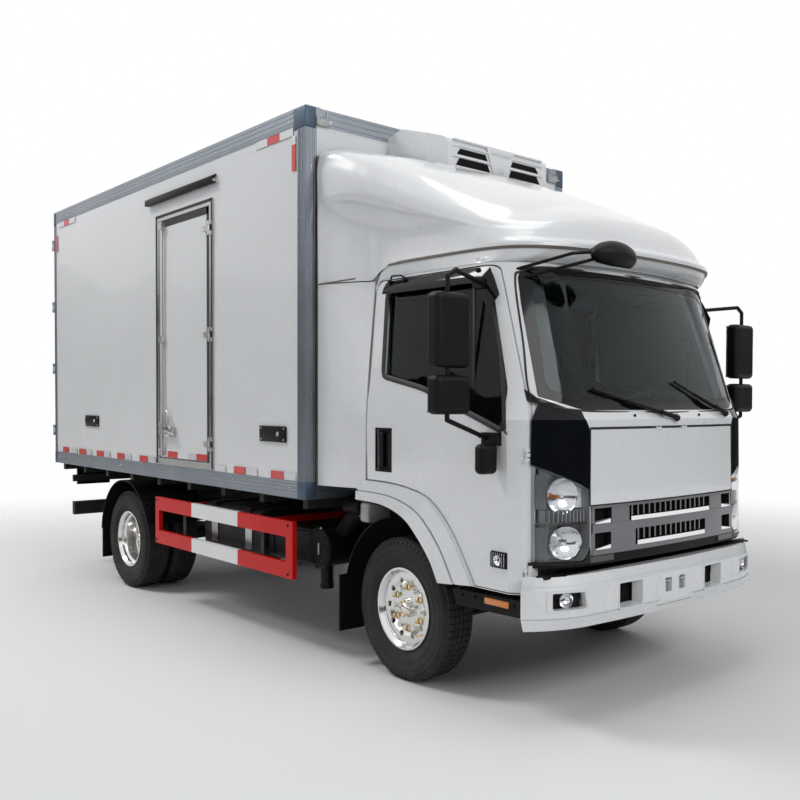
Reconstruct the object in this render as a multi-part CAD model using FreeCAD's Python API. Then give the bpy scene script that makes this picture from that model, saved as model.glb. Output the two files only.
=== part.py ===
"""Refrigerated box truck with a tilting cab, in millimetres.

X points forward, Y to the left and Z up. The origin is on the ground, in the middle of the truck.
"""
import FreeCAD, Part
import math
import os

V = FreeCAD.Vector

# Overall layout
FRONT_OVERHANG = 1115.0
WHEELBASE = 3360.0
AXLE_TO_BOX = 629.0
BOX_LENGTH = 4124.0
BOX_WIDTH = 2152.0
BOX_UNDERSIDE = 920.0
BOX_HEIGHT = 2222.0
REAR_HARDWARE = 62.0
RUNNING_GAP = 6.0
FIT = 0.3

OVERALL_LENGTH = FRONT_OVERHANG + AXLE_TO_BOX + BOX_LENGTH + REAR_HARDWARE
FRONT_AXLE_X = OVERALL_LENGTH / 2 - FRONT_OVERHANG
REAR_AXLE_X = FRONT_AXLE_X - WHEELBASE
BOX_FRONT = FRONT_AXLE_X - AXLE_TO_BOX
BOX_REAR = BOX_FRONT - BOX_LENGTH
BOX_TOP = BOX_UNDERSIDE + BOX_HEIGHT
BOX_SIDE = BOX_WIDTH / 2

# Wheels and tyres
TYRE_RADIUS = 380.0
TYRE_WIDTH = 200.0
BEAD_RADIUS = 203.0
FLANGE_RADIUS = 218.0
RIM_WIDTH = 165.0
RIM_WALL = 10.0
FRONT_TRACK = 1584.0
REAR_OUTER_TRACK = 1796.0
TWIN_SPACING = 232.0
NUT_CIRCLE = 111.0
NUT_COUNT = 6
HAND_HOLE_CIRCLE = 150.0
HAND_HOLE_RADIUS = 15.0
HAND_HOLE_COUNT = 10

# Frame
RAIL_OUTER_Y = 375.0
RAIL_TOP = 800.0
RAIL_DEPTH = 180.0
RAIL_FLANGE = 65.0
RAIL_WALL = 8.0
RAIL_FRONT = FRONT_AXLE_X + 1010
RAIL_REAR = BOX_REAR + 40
BEARER_HEIGHT = 60.0
BEARER_COUNT = 9
SILL_HEIGHT = BOX_UNDERSIDE - RAIL_TOP - BEARER_HEIGHT

# Axles and steering
KINGPIN_Y = 660.0
KINGPIN_RADIUS = 16.0
AXLE_BEAM_WIDTH = 64.0
STEERING_ARM = 170.0
TIE_ROD_Y = KINGPIN_Y
TIE_ROD_Z = 318.0
SPRING_WIDTH = 64.0
FRONT_SPRING_Y = RAIL_OUTER_Y + FIT + SPRING_WIDTH / 2
REAR_SPRING_Y = 466.0
LEAF = 11.0

# Insulated box
BOX_WALL = 80.0
BOX_FLOOR = 100.0
FLOOR_REBATE = 10.0
TRIM = 4.0
RAIL_COVER = 100.0
POST_COVER = 85.0
SIDE_DOOR_FRONT = FRONT_AXLE_X - 1733
SIDE_DOOR_REAR = FRONT_AXLE_X - 2600
SIDE_DOOR_BOTTOM = BOX_UNDERSIDE + BOX_FLOOR + 5
SIDE_DOOR_TOP = 2800.0
DOOR_FRAME = 45.0

# Cab
CAB_BACK = FRONT_AXLE_X - 300
CAB_WALL = 60.0
CAB_BOTTOM = 610.0
CAB_NOSE_BOTTOM = 735.0
CAB_FLOOR_TOP = 1010.0
CAB_TUNNEL_TOP = 830.0
CAB_TUNNEL_HALF = 450.0
FOOTWELL_FLOOR = 880.0
STEP_WELL_FLOOR = 680.0
FOOTWELL_REAR = FRONT_AXLE_X + 470
ARCH_FRONT = FRONT_AXLE_X + 420
ARCH_TOP = 950.0
CAB_HALF_WIDTH = 930.0
ROOF_HALF_WIDTH = 862.0
ROOF_EDGE = 2170.0
ROOF_TOP = 2205.0
BELT = 1480.0
PANEL_TOP = 1400.0
FRONT_PANEL = (1004.0, 1354.0)
FRONT_PANEL_HALF = 600.0
TILT_X = FRONT_AXLE_X + 1040
TILT_Z = 745.0
DOOR_SHUT_REAR = FRONT_AXLE_X - 244
DOOR_SHUT_FRONT = FRONT_AXLE_X + 912
BUMPER_TOP = 690.0
BUMPER_BOTTOM = 445.0
DASHBOARD_HALF = 772.0

# Hinges
HINGE_HALF = 20.0
HINGE_LUG = 26.0
CAB_DOOR_HINGE = (FRONT_AXLE_X + 917, 886.0)
CAB_DOOR_HINGE_HEIGHTS = (690.0, 1240.0)
CAB_DOOR_PIN = 4.5
HINGE_REACH = 30.0
HINGE_ARM_HALF = 9.0
TILT_PIN = 7.0
TILT_BOSS = 14.0
LID_HINGE = (FRONT_AXLE_X + 1083, 1356.0)
LID_HINGE_Y = 110.0
LID_BARREL = 3.5


def block(x, y, z):
    """A block between pairs of limits."""
    return Part.makeBox(x[1] - x[0], y[1] - y[0], z[1] - z[0], V(x[0], y[0], z[0]))


def rod(start, end, radius):
    """A round bar from one point to another."""
    line = V(*end) - V(*start)
    return Part.makeCylinder(radius, line.Length, V(*start), line)


def pipe_run(points, radius):
    """Round bars through a list of points, with a ball at each bend."""
    parts = [rod(a, b, radius) for a, b in zip(points, points[1:])]
    parts += [Part.makeSphere(radius, V(*p)) for p in points[1:-1]]
    return fused(parts)


def fused(parts):
    """One solid made of several that touch."""
    return parts[0].multiFuse(parts[1:]).removeSplitter() if len(parts) > 1 else parts[0]


def mirrored(shape):
    return shape.mirror(V(0, 0, 0), V(0, 1, 0))


def pair(shape):
    """The shape and its mirror image, as separate solids."""
    return Part.makeCompound([shape, mirrored(shape)])


PLACES = {
    "x": lambda level: lambda p: V(level, p.x, p.y),
    "y": lambda level: lambda p: V(p.x, level, p.y),
    "z": lambda level: lambda p: V(p.x, p.y, level),
}
AXES = {"x": V(1, 0, 0), "y": V(0, 1, 0), "z": V(0, 0, 1)}


def outline(points, place, radius=0.0):
    """A closed wire through flat points (u, v) or (u, v, corner radius)."""
    corners = []
    count = len(points)
    for number, point in enumerate(points):
        here = V(point[0], point[1], 0)
        before = V(*points[number - 1][:2], 0)
        after = V(*points[(number + 1) % count][:2], 0)
        size = point[2] if len(point) == 3 else radius
        back = (before - here).normalize()
        ahead = (after - here).normalize()
        angle = back.getAngle(ahead)
        if size and angle < math.pi - 0.01:
            reach = size / math.tan(angle / 2)
            inward = (back + ahead).normalize()
            middle = here + inward * (size / math.sin(angle / 2) - size)
            corners.append((here + back * reach, middle, here + ahead * reach))
        else:
            corners.append((here,))
    edges = []
    for number, corner in enumerate(corners):
        start = corners[number - 1][-1]
        if start.distanceToPoint(corner[0]) > 1e-6:
            edges.append(Part.makeLine(place(start), place(corner[0])))
        if len(corner) == 3:
            edges.append(Part.Arc(*[place(p) for p in corner]).toShape())
    return Part.Wire(edges)


def slab(points, axis, low, high, radius=0.0):
    """A flat outline drawn out along an axis from low to high."""
    wire = outline(points, PLACES[axis](low), radius)
    return Part.Face(wire).extrude(AXES[axis] * (high - low))


def turned(points, x, z, radius=0.0):
    """A profile of (radius, y) points turned about a line along Y through x and z."""
    wire = outline(points, lambda p: V(x + p.x, p.y, z), radius)
    return Part.Face(wire).revolve(V(x, 0, z), V(0, 1, 0), 360)


def ring(count, radius, x, z):
    """Points spaced evenly on a circle in the XZ plane."""
    for number in range(count):
        angle = 2 * math.pi * number / count
        yield x + radius * math.cos(angle), z + radius * math.sin(angle)


def arc_band(x, z, inner, outer, start, end, low_y, high_y):
    """Part of a ring about a line along Y, between two angles in degrees."""
    def at(radius, angle):
        turn = math.radians(angle)
        return V(x + radius * math.cos(turn), low_y, z + radius * math.sin(turn))
    middle = (start + end) / 2
    edges = [
        Part.Arc(at(outer, start), at(outer, middle), at(outer, end)).toShape(),
        Part.makeLine(at(outer, end), at(inner, end)),
        Part.Arc(at(inner, end), at(inner, middle), at(inner, start)).toShape(),
        Part.makeLine(at(inner, start), at(outer, start)),
    ]
    return Part.Face(Part.Wire(edges)).extrude(V(0, high_y - low_y, 0))


# Cab body: horizontal sections from the sill to the roof, joined by flat-sided lofts

CORNER_BULGE = 0.13
ROOF_SHARE = 0.5
CAB_LEVELS = (
    # height, front middle, knee x, knee y, corner start x, half width; x from the front axle
    (CAB_BOTTOM - 10, 1095, 1068, 600, 850, CAB_HALF_WIDTH),
    (PANEL_TOP, 1080, 1050, 610, 830, CAB_HALF_WIDTH),
    (BELT, 1030, 1000, 600, 800, CAB_HALF_WIDTH - 5),
    (ROOF_EDGE, 825, 785, 500, 610, ROOF_HALF_WIDTH),
    (ROOF_TOP, 790, 750, 480, 590, ROOF_HALF_WIDTH - 32),
)


def cab_section(level, inset):
    """The cab's outline seen from above at one height, moved in by a wall."""
    z, front, knee, knee_y, corner, half = level
    back = CAB_BACK + inset
    front, knee, corner = [FRONT_AXLE_X + value - inset for value in (front, knee, corner)]
    knee_y -= inset / 3
    half -= inset
    chord = V(knee - corner, half - knee_y, 0)
    bulge = chord.Length * CORNER_BULGE
    out = V(half - knee_y, knee - corner, 0).normalize() * bulge
    mid = V((knee + corner) / 2 + out.x, (half + knee_y) / 2 + out.y, 0)
    edges = [
        Part.makeLine(V(back, -half, z), V(corner, -half, z)),
        Part.Arc(V(corner, -half, z), V(mid.x, -mid.y, z), V(knee, -knee_y, z)).toShape(),
        Part.Arc(V(knee, -knee_y, z), V(front, 0, z), V(knee, knee_y, z)).toShape(),
        Part.Arc(V(knee, knee_y, z), V(mid.x, mid.y, z), V(corner, half, z)).toShape(),
        Part.makeLine(V(corner, half, z), V(back, half, z)),
        Part.makeLine(V(back, half, z), V(back, -half, z)),
    ]
    return Part.Wire(edges)


def cab_form(inset):
    """The solid cab form, moved in on all sides but the bottom."""
    levels = []
    for level in CAB_LEVELS:
        lowered = inset * ROOF_SHARE if level[0] > BELT else 0
        levels.append((level[0] - lowered,) + level[1:])
    return Part.makeLoft([cab_section(level, inset) for level in levels], True, True)


def face_x(y, z):
    """How far forward the middle part of the cab's face lies at one point."""
    for below, above in zip(CAB_LEVELS, CAB_LEVELS[1:]):
        if below[0] <= z <= above[0]:
            share = (z - below[0]) / (above[0] - below[0])
            front, knee, knee_y = [low + share * (high - low) for low, high in zip(below[1:4], above[1:4])]
            return FRONT_AXLE_X + front - (front - knee) * (y / knee_y) ** 2
    raise ValueError("no part of the cab's face at this height")


FLARE_OUTER = ((-300, 1052), (-40, 1048), (130, 1030), (291, 985), (400, 905), (500, 790), (622, 606))
FLARE_INNER = ((-300, 942), (-60, 930), (110, 880), (220, 798), (323, 690), (385, 588))


def flare_outline(outer_shift, inner_shift):
    """The arch flare seen from the side, as a closed wire in the XZ plane at y 0."""
    outer = [V(FRONT_AXLE_X + x + outer_shift * 0.7, 0, z + outer_shift) for x, z in FLARE_OUTER]
    inner = [V(FRONT_AXLE_X + x + inner_shift * 0.7, 0, z + inner_shift) for x, z in FLARE_INNER]
    curve = Part.BSplineCurve()
    curve.interpolate(outer)
    under = Part.BSplineCurve()
    under.interpolate(inner)
    edges = [
        curve.toShape(),
        Part.makeLine(outer[-1], inner[-1]),
        under.toShape(),
        Part.makeLine(inner[0], outer[0]),
    ]
    return Part.Wire(Part.__sortEdges__(edges))


def flare_prism(outer_shift, inner_shift, low_y, high_y):
    """The arch flare's side outline drawn out between two widths, on the left."""
    face = Part.Face(flare_outline(outer_shift, inner_shift))
    face.translate(V(0, low_y, 0))
    return face.extrude(V(0, high_y - low_y, 0))


def door_outline(grow):
    """The cab door seen from the side, with its lower rear corner still square."""
    rear = DOOR_SHUT_REAR - grow
    front = DOOR_SHUT_FRONT + grow
    return [
        (rear, CAB_BOTTOM - grow - 1),
        (front + 8, CAB_BOTTOM - grow - 1),
        (front + 2, 1400),
        (front - 30, 1500, 80),
        (FRONT_AXLE_X + 670 + grow, 2130 + grow, 45),
        (rear, 2130 + grow, 70),
    ]


def door_prism(grow, low_y, high_y):
    """The door's side outline drawn out, with the arch flare cut from it."""
    prism = slab(door_outline(grow), "y", low_y, high_y)
    return prism.cut(flare_prism(RUNNING_GAP - grow, -400, low_y - 1, high_y + 1))


WINDOW = (
    (-124, 1616, 30), (217, 1550, 60), (816, 1344, 25), (812, 1540, 200), (655, 2070, 45), (-140, 2085, 50),
)


def window_prism(grow, low_y, high_y):
    """The door window seen from the side, drawn out."""
    centre_x = sum(p[0] for p in WINDOW) / len(WINDOW)
    centre_z = sum(p[1] for p in WINDOW) / len(WINDOW)
    points = []
    for x, z, radius in WINDOW:
        shift_x = grow if x > centre_x else -grow
        shift_z = grow if z > centre_z else -grow
        points.append((FRONT_AXLE_X + x + shift_x, z + shift_z, max(radius + grow, 1)))
    return slab(points, "y", low_y, high_y)


PILLAR = 34.0


def windscreen_prism(grow):
    """The windscreen seen from the front, drawn out through the cab's face."""
    top, base, corner = 2135 + grow, 1432 - grow, 1512 - grow
    right = [(620, base + 12, 300), (832 + grow, corner, 45), (765 + grow, top - 22, 60), (520, top, 500)]
    left = [(-y, z, r) for y, z, r in reversed(right)]
    prism = slab(right + left, "x", FRONT_AXLE_X + 560, FRONT_AXLE_X + 1250)
    pillar = door_prism(PILLAR - grow, 500, 1100)
    return prism.cut(pillar).cut(mirrored(pillar))


REAR_GLASS = ((-420, 1500), (420, 1500), (420, 1900), (-420, 1900))


def rear_glass_prism(grow, low_x, high_x):
    points = [(y + (grow if y > 0 else -grow), z + (grow if z > 1700 else -grow)) for y, z in REAR_GLASS]
    return slab(points, "x", low_x, high_x, 50 + grow)


LAMP_OUTLINE = ((604, 1076), (604, 800, 20), (640, 748, 20), (880, 748), (880, 1196, 14), (850, 1192, 10))
CORNER_PANEL_OUTLINE = (
    (FRONT_PANEL_HALF + 4, CAB_NOSE_BOTTOM), (990, CAB_NOSE_BOTTOM), (990, 1552), (836, 1512), (640, 1428),
    (FRONT_PANEL_HALF + 4, 1362),
)
GRILLE = (764.0, 998.0)
GRILLE_HALF = 600.0


def nose_prism(points, grow=0.0, side=1):
    """A front-view outline on one side, drawn out through the nose."""
    shape = slab([(p[0], p[1]) + tuple(p[2:]) for p in points], "x", FRONT_AXLE_X + 700, FRONT_AXLE_X + 1250)
    return shape if side > 0 else mirrored(shape)


def grille_prism(grow=0.0):
    return block((FRONT_AXLE_X + 800, FRONT_AXLE_X + 1250), (-GRILLE_HALF - grow, GRILLE_HALF + grow),
                 (GRILLE[0] - grow, GRILLE[1] + grow))


def front_panel_prism(grow=0.0):
    half = FRONT_PANEL_HALF + grow
    return block((FRONT_AXLE_X + 800, FRONT_AXLE_X + 1250), (-half, half),
                 (FRONT_PANEL[0] - grow, FRONT_PANEL[1] + grow))


PANEL_SKIN = 12.0
LAMP_DEPTH = 50.0
OUTER = cab_form(0)
SKIN_PANEL = OUTER.cut(cab_form(PANEL_SKIN))
SKIN_LAMP = OUTER.cut(cab_form(LAMP_DEPTH))
SKIN_DOOR = OUTER.cut(cab_form(CAB_WALL))
SEAT_ON_CAB = cab_form(-FIT)


def tilt_lug():
    """Left lug that the cab swings on, standing on the frame's pin."""
    lug = rod((TILT_X, 302, TILT_Z), (TILT_X, 340 - FIT, TILT_Z), TILT_BOSS)
    arm = block((TILT_X - TILT_BOSS, TILT_X - 4), (302, 340 - FIT), (TILT_Z, CAB_TUNNEL_TOP - 60))
    lug = lug.fuse(arm).cut(grille_prism(1).common(SKIN_LAMP))
    return lug.cut(rod((TILT_X, 300, TILT_Z), (TILT_X, 350, TILT_Z), TILT_PIN + FIT))


def door_pin(height):
    """Left cab door's hinge pin at one height, on an arm that passes behind the corner panel."""
    x, y = CAB_DOOR_HINGE
    pin = rod((x, y, height - HINGE_REACH), (x, y, height + HINGE_REACH), CAB_DOOR_PIN)
    arm = slab([(x - 4, y + 3), (x + 4, y + 3), (x + 5, y - 46), (x + 18, y - 61), (x + 18, y - 80),
                (x - 2, y - 56)],
               "z", height - HINGE_ARM_HALF, height + HINGE_ARM_HALF)
    return pin.fuse(arm)


def with_door_hinge(leaf, height):
    """The door leaf with a notch for one hinge arm and a barrel above and below it."""
    x, y = CAB_DOOR_HINGE
    gap = HINGE_ARM_HALF + 5
    leaf = leaf.cut(block((x - 12, x + 20), (y - 95, y + 20), (height - gap, height + gap)))
    for low in (height - HINGE_REACH, height + gap):
        high = low + HINGE_REACH - gap
        web = slab([(x - 22, y - 4), (x - 22, y - 40), (x + 2, y - 40), (x + 4, y), (x, y + 6),
                    (x - 10, y + 4)],
                   "z", low, high)
        leaf = leaf.fuse(rod((x, y, low), (x, y, high), CAB_DOOR_PIN + 4).fuse(web))
    return leaf.cut(rod((x, y, height - 2 * HINGE_REACH), (x, y, height + 2 * HINGE_REACH),
                        CAB_DOOR_PIN + FIT))


def lid_barrel(low_y, high_y, top):
    """One barrel of the service lid's hinge, joined to the panel above or below it."""
    x, z = LID_HINGE
    side = (z, z + 8) if top else (z - 8, z)
    return rod((x, low_y, z), (x, high_y, z), LID_BARREL).fuse(
        block((x - 9, x + LID_BARREL), (low_y, high_y), side))


def cab_shell():
    """Floor, rear wall, pillars and roof, hollow and open at the doors and glass."""
    far = 1500
    body = OUTER.cut(block((CAB_BACK - 10, ARCH_FRONT), (-far, far), (0, ARCH_TOP)))
    body = body.cut(block((FRONT_AXLE_X + 935, TILT_X + 500), (-far, far), (0, CAB_NOSE_BOTTOM)))
    inner = cab_form(CAB_WALL)
    tunnel = (-CAB_TUNNEL_HALF, CAB_TUNNEL_HALF)
    body = body.cut(block((CAB_BACK - 10, TILT_X + 500), tunnel, (0, CAB_TUNNEL_TOP - 66)))
    body = body.cut(block((CAB_BACK - 10, TILT_X - 15), tunnel, (0, CAB_TUNNEL_TOP)))
    room = inner.common(block((CAB_BACK, TILT_X + 500), (-far, far), (CAB_FLOOR_TOP, ROOF_TOP)))
    well = inner.common(block((FOOTWELL_REAR, FRONT_AXLE_X + 940), (-far, far),
                              (FOOTWELL_FLOOR, CAB_FLOOR_TOP + 5)))
    body = body.cut(room).cut(well)
    for low_y, high_y in ((CAB_TUNNEL_HALF + 50, far), (-far, -CAB_TUNNEL_HALF - 50)):
        body = body.cut(inner.common(block((FOOTWELL_REAR, FRONT_AXLE_X + 880), (low_y, high_y),
                                           (STEP_WELL_FLOOR, FOOTWELL_FLOOR + 5))))
    for side in (1, -1):
        door = door_prism(RUNNING_GAP, 700, 1100)
        flare = flare_prism(2 * FIT, -2 * FIT, CAB_HALF_WIDTH - CAB_WALL, 1100)
        flare_end = flare_prism(0, 0, CAB_HALF_WIDTH - CAB_WALL, 1100)
        lamp = nose_prism(LAMP_OUTLINE).common(SKIN_LAMP)
        corner = nose_prism(CORNER_PANEL_OUTLINE).common(SKIN_PANEL)
        for tool in (door, flare, flare_end, lamp, corner):
            body = body.cut(tool if side > 0 else mirrored(tool))
    body = body.cut(windscreen_prism(0))
    body = body.cut(rear_glass_prism(0, CAB_BACK - 10, CAB_BACK + CAB_WALL + 10))
    body = body.cut(grille_prism(1).common(SKIN_LAMP))
    body = body.cut(front_panel_prism(RUNNING_GAP).common(SKIN_LAMP))
    fittings = [tilt_lug()] + [door_pin(height) for height in CAB_DOOR_HINGE_HEIGHTS]
    for shift in (-20, 10):
        fittings.append(lid_barrel(LID_HINGE_Y + shift, LID_HINGE_Y + shift + 10, True))
    return body.multiFuse(fittings + [mirrored(fitting) for fitting in fittings])


def cab_glass():
    """Windscreen and rear window, each set in its opening."""
    screen = windscreen_prism(-FIT).common(cab_form(4)).cut(cab_form(12))
    rear = rear_glass_prism(-FIT, CAB_BACK + 20, CAB_BACK + 26)
    return Part.makeCompound([screen, rear])


def corner_panels():
    panel = SKIN_PANEL.common(nose_prism(CORNER_PANEL_OUTLINE))
    panel = panel.cut(nose_prism(LAMP_OUTLINE))
    panel = panel.cut(block((0, DOOR_SHUT_FRONT + 8 + RUNNING_GAP), (0, 1200), (0, 2500)))
    panel = panel.cut(windscreen_prism(0))
    return pair(panel)


def headlamps():
    lamp = SKIN_LAMP.common(nose_prism(LAMP_OUTLINE))
    lamp = lamp.cut(block((0, DOOR_SHUT_FRONT + 8 + RUNNING_GAP), (0, 1200), (0, 2500)))
    return pair(lamp)


def grille():
    """Two tiers of openings: barred slots in the middle and pointed ones at the sides."""
    lamp = nose_prism(LAMP_OUTLINE)
    plate = SKIN_LAMP.common(grille_prism(0)).cut(lamp).cut(mirrored(lamp))
    for low, high, inner, reach in ((790, 850, 260, 470), (905, 965, 260, 470)):
        slot = slab([(-inner, high), (inner, high), (inner - 50, low), (-inner + 50, low)], "x",
                    FRONT_AXLE_X + 900, FRONT_AXLE_X + 1200, 8)
        bars = [block((FRONT_AXLE_X + 900, FRONT_AXLE_X + 1200), (y - 6, y + 6), (low - 5, high + 5))
                for y in range(-inner + 45, inner, 42)]
        plate = plate.cut(slot.cut(Part.makeCompound(bars)))
        side = slab([(reach + 20, low), (reach + 105, low), (reach + 105, high), (reach - 20, high)], "x",
                    FRONT_AXLE_X + 900, FRONT_AXLE_X + 1200, 8)
        plate = plate.cut(side).cut(mirrored(side))
    return plate


def front_panel():
    """The service lid under the windscreen, hinged along its top edge."""
    panel = cab_form(0).cut(cab_form(14)).common(front_panel_prism(0))
    barrel = lid_barrel(LID_HINGE_Y - 10 + FIT, LID_HINGE_Y + 10 - FIT, False)
    room = block((LID_HINGE[0] - 12, LID_HINGE[0] + 10), (LID_HINGE_Y - 21, LID_HINGE_Y + 21),
                 (LID_HINGE[1] - LID_BARREL - FIT, LID_HINGE[1]))
    panel = panel.cut(room).cut(mirrored(room))
    return fused([panel, barrel, mirrored(barrel)])


def cab_door():
    """Left cab door: one leaf as thick as the wall, its window cut through."""
    leaf = SKIN_DOOR.common(door_prism(0, 780, 1100))
    leaf = leaf.cut(window_prism(0, 600, 1100))
    recess = slab([(FRONT_AXLE_X - 162, 1112), (FRONT_AXLE_X - 30, 1112), (FRONT_AXLE_X - 30, 1335),
                   (FRONT_AXLE_X - 162, 1335)], "y", CAB_HALF_WIDTH - 22, CAB_HALF_WIDTH + 50, 20)
    leaf = leaf.cut(recess)
    for height in CAB_DOOR_HINGE_HEIGHTS:
        leaf = with_door_hinge(leaf, height)
    return leaf


def door_glass():
    """Left door window, flat and leaning in with the side of the cab."""
    belt_y = CAB_HALF_WIDTH - 5
    lean = (belt_y - ROOF_HALF_WIDTH) / (ROOF_EDGE - BELT)

    def at(z, depth):
        return belt_y - (z - BELT) * lean - depth, z
    layer = slab([at(1300, 22), at(2160, 22), at(2160, 27), at(1300, 27)], "x", CAB_BACK, FRONT_AXLE_X + 1000)
    return layer.common(window_prism(-FIT, 600, 1100))


def mirror():
    """Left mirrors: two heads on a tube stay and a kerb mirror under its bracket."""
    x = FRONT_AXLE_X + 760
    heads = []
    for low, high in ((1632, 1965), (1425, 1600)):
        head = block((x - 60, x + 25), (1100, 1305), (low, high))
        heads.append(head.makeFillet(28, [e for e in head.Edges]))
    stay = pipe_run([(FRONT_AXLE_X + 640, 905, 2040), (x - 15, 1165, 2070), (x - 15, 1215, 2040),
                     (x - 15, 1215, 1400), (FRONT_AXLE_X + 730, 955, 1312)], 11)
    foot = block((FRONT_AXLE_X + 700, FRONT_AXLE_X + 800), (900, 965), (1280, 1340))
    kerb = block((FRONT_AXLE_X + 735, FRONT_AXLE_X + 800), (945, 1050), (1150, 1290))
    kerb = kerb.makeFillet(25, kerb.Edges)
    top = block((FRONT_AXLE_X + 580, FRONT_AXLE_X + 650), (850, 915), (2020, 2065))
    return fused([stay, foot, kerb, top] + heads).cut(SEAT_ON_CAB)


def wheel_arches():
    """White flare over each front wheel, set in the cab's side below the door."""
    flare = flare_prism(0, 0, CAB_HALF_WIDTH - CAB_WALL + FIT, CAB_HALF_WIDTH + 15)
    return pair(flare)


def cab_steps():
    """Black entry step under each door, hung from the frame."""
    step = fused([
        slab([(FRONT_AXLE_X + 455, 570), (FRONT_AXLE_X + 926, 578), (FRONT_AXLE_X + 926, 500),
              (FRONT_AXLE_X + 490, 492)], "y", 700, 925, 12),
        block((FRONT_AXLE_X + 650, FRONT_AXLE_X + 720), (RAIL_OUTER_Y, 705), (520, 560)),
        block((FRONT_AXLE_X + 650, FRONT_AXLE_X + 720), (RAIL_OUTER_Y, RAIL_OUTER_Y + 12), (540, 700)),
    ])
    return pair(step)


FAIRING_WALL = 8.0
FAIRING_REAR = BOX_FRONT + 14
FAIRING_BASE = ROOF_TOP + FIT
FAIRING_STATIONS = (
    # x from the front axle, then (y, z) from the lower edge over the shoulder to the middle
    (-600, ((1012, 2208), (1014, 2400), (1014, 2560), (1014, 2720),
            (1010, 2840), (930, 2908), (560, 2935), (0, 2945))),
    (-330, ((965, 2208), (945, 2330), (962, 2480), (1000, 2610),
            (985, 2750), (890, 2842), (520, 2880), (0, 2895))),
    (-60, ((905, 2208), (880, 2290), (885, 2390), (935, 2500),
            (925, 2640), (810, 2745), (480, 2790), (0, 2808))),
    (240, ((885, 2208), (868, 2260), (868, 2330), (885, 2410),
            (860, 2520), (730, 2615), (430, 2672), (0, 2695))),
    (560, ((850, 2208), (845, 2240), (840, 2280), (820, 2330),
            (770, 2400), (630, 2480), (360, 2535), (0, 2556))),
    (820, ((690, 2208), (686, 2225), (676, 2250), (650, 2280),
            (590, 2322), (460, 2370), (250, 2408), (0, 2420))),
    (975, ((420, 2208), (418, 2212), (412, 2218), (395, 2226),
            (350, 2236), (270, 2250), (140, 2262), (0, 2266))),
)


def fairing_section(station, inset):
    """One cross-section of the roof fairing, closed along its base."""
    x, half = station
    right = [V(FRONT_AXLE_X + x, y - inset, max(z - inset, FAIRING_BASE)) for y, z in half]
    right[0].z = FAIRING_BASE - inset
    points = right + [V(p.x, -p.y, p.z) for p in reversed(right[:-1])]
    curve = Part.BSplineCurve()
    curve.interpolate(points)
    return Part.Wire([curve.toShape(), Part.makeLine(points[-1], points[0])])


def fairing_form(inset):
    stations = FAIRING_STATIONS
    if inset:
        stations = [(x - (inset if x > 0 else 0), half) for x, half in stations]
    return Part.makeLoft([fairing_section(s, inset) for s in stations], True, False)


NOTCH_HALF = 535.0
NOTCH_FRONT = FRONT_AXLE_X - 130


def roof_fairing():
    """Moulded air deflector on the roof, with skirts down to the box's lower corner."""
    outer = fairing_form(0)
    inner = fairing_form(FAIRING_WALL)
    notch = block((BOX_FRONT - 50, NOTCH_FRONT), (-NOTCH_HALF, NOTCH_HALF), (0, 3200))
    half = NOTCH_HALF + FAIRING_WALL
    lining = block((BOX_FRONT - 50, NOTCH_FRONT + FAIRING_WALL), (-half, half), (FAIRING_BASE, 3200))
    lining = lining.cut(notch).common(outer)
    shell = outer.cut(inner).cut(notch)
    shell = shell.fuse(lining)
    front = CAB_BACK - FIT
    rear = FRONT_AXLE_X - 600
    skirt = slab([(front, 925), (rear, 1006), (rear, 1014), (front, 933)], "z", 1002, FAIRING_BASE + 10)
    skirts = [skirt, mirrored(skirt)]
    return fused([shell] + skirts)


def dashboard():
    """Dashboard across the cab, with the column that holds the steering wheel."""
    profile = [(FRONT_AXLE_X + 930, 1050), (FRONT_AXLE_X + 930, 1400, 20), (FRONT_AXLE_X + 800, 1420, 20),
               (FRONT_AXLE_X + 690, 1370, 30), (FRONT_AXLE_X + 680, 1230, 30), (FRONT_AXLE_X + 740, 1050, 20)]
    board = slab(profile, "y", -DASHBOARD_HALF, DASHBOARD_HALF)
    column = rod(tuple(STEER_CENTRE - STEER_AXIS * (STEER_HUB + FIT)),
                 tuple(STEER_CENTRE - STEER_AXIS * 470), 30)
    cowl = rod(tuple(STEER_CENTRE - STEER_AXIS * 130), tuple(STEER_CENTRE - STEER_AXIS * 350), 60)
    return fused([board.common(cab_form(CAB_WALL + FIT)), cowl, column])


WHEEL_TILT = math.radians(32)
STEER_CENTRE = V(FRONT_AXLE_X + 480, 420, 1430)
STEER_AXIS = V(-math.sin(WHEEL_TILT), 0, math.cos(WHEEL_TILT))
STEER_HUB = 60.0
STEER_RADIUS = 205.0


def steering_wheel():
    """Rim, three spokes and hub, square to the steering column."""
    rim = Part.makeTorus(STEER_RADIUS, 15, V(0, 0, 0), V(0, 0, 1))
    hub = Part.makeCylinder(60, STEER_HUB - 10, V(0, 0, -STEER_HUB))
    spokes = []
    for angle in (20, 160, 270):
        turn = math.radians(angle)
        tip = (STEER_RADIUS * math.cos(turn), STEER_RADIUS * math.sin(turn), 0)
        spokes.append(rod((0, 0, -30), tip, 14))
    wheel = fused([rim, hub] + spokes)
    wheel.rotate(V(0, 0, 0), V(0, 1, 0), -math.degrees(WHEEL_TILT))
    wheel.translate(STEER_CENTRE)
    return wheel


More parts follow.
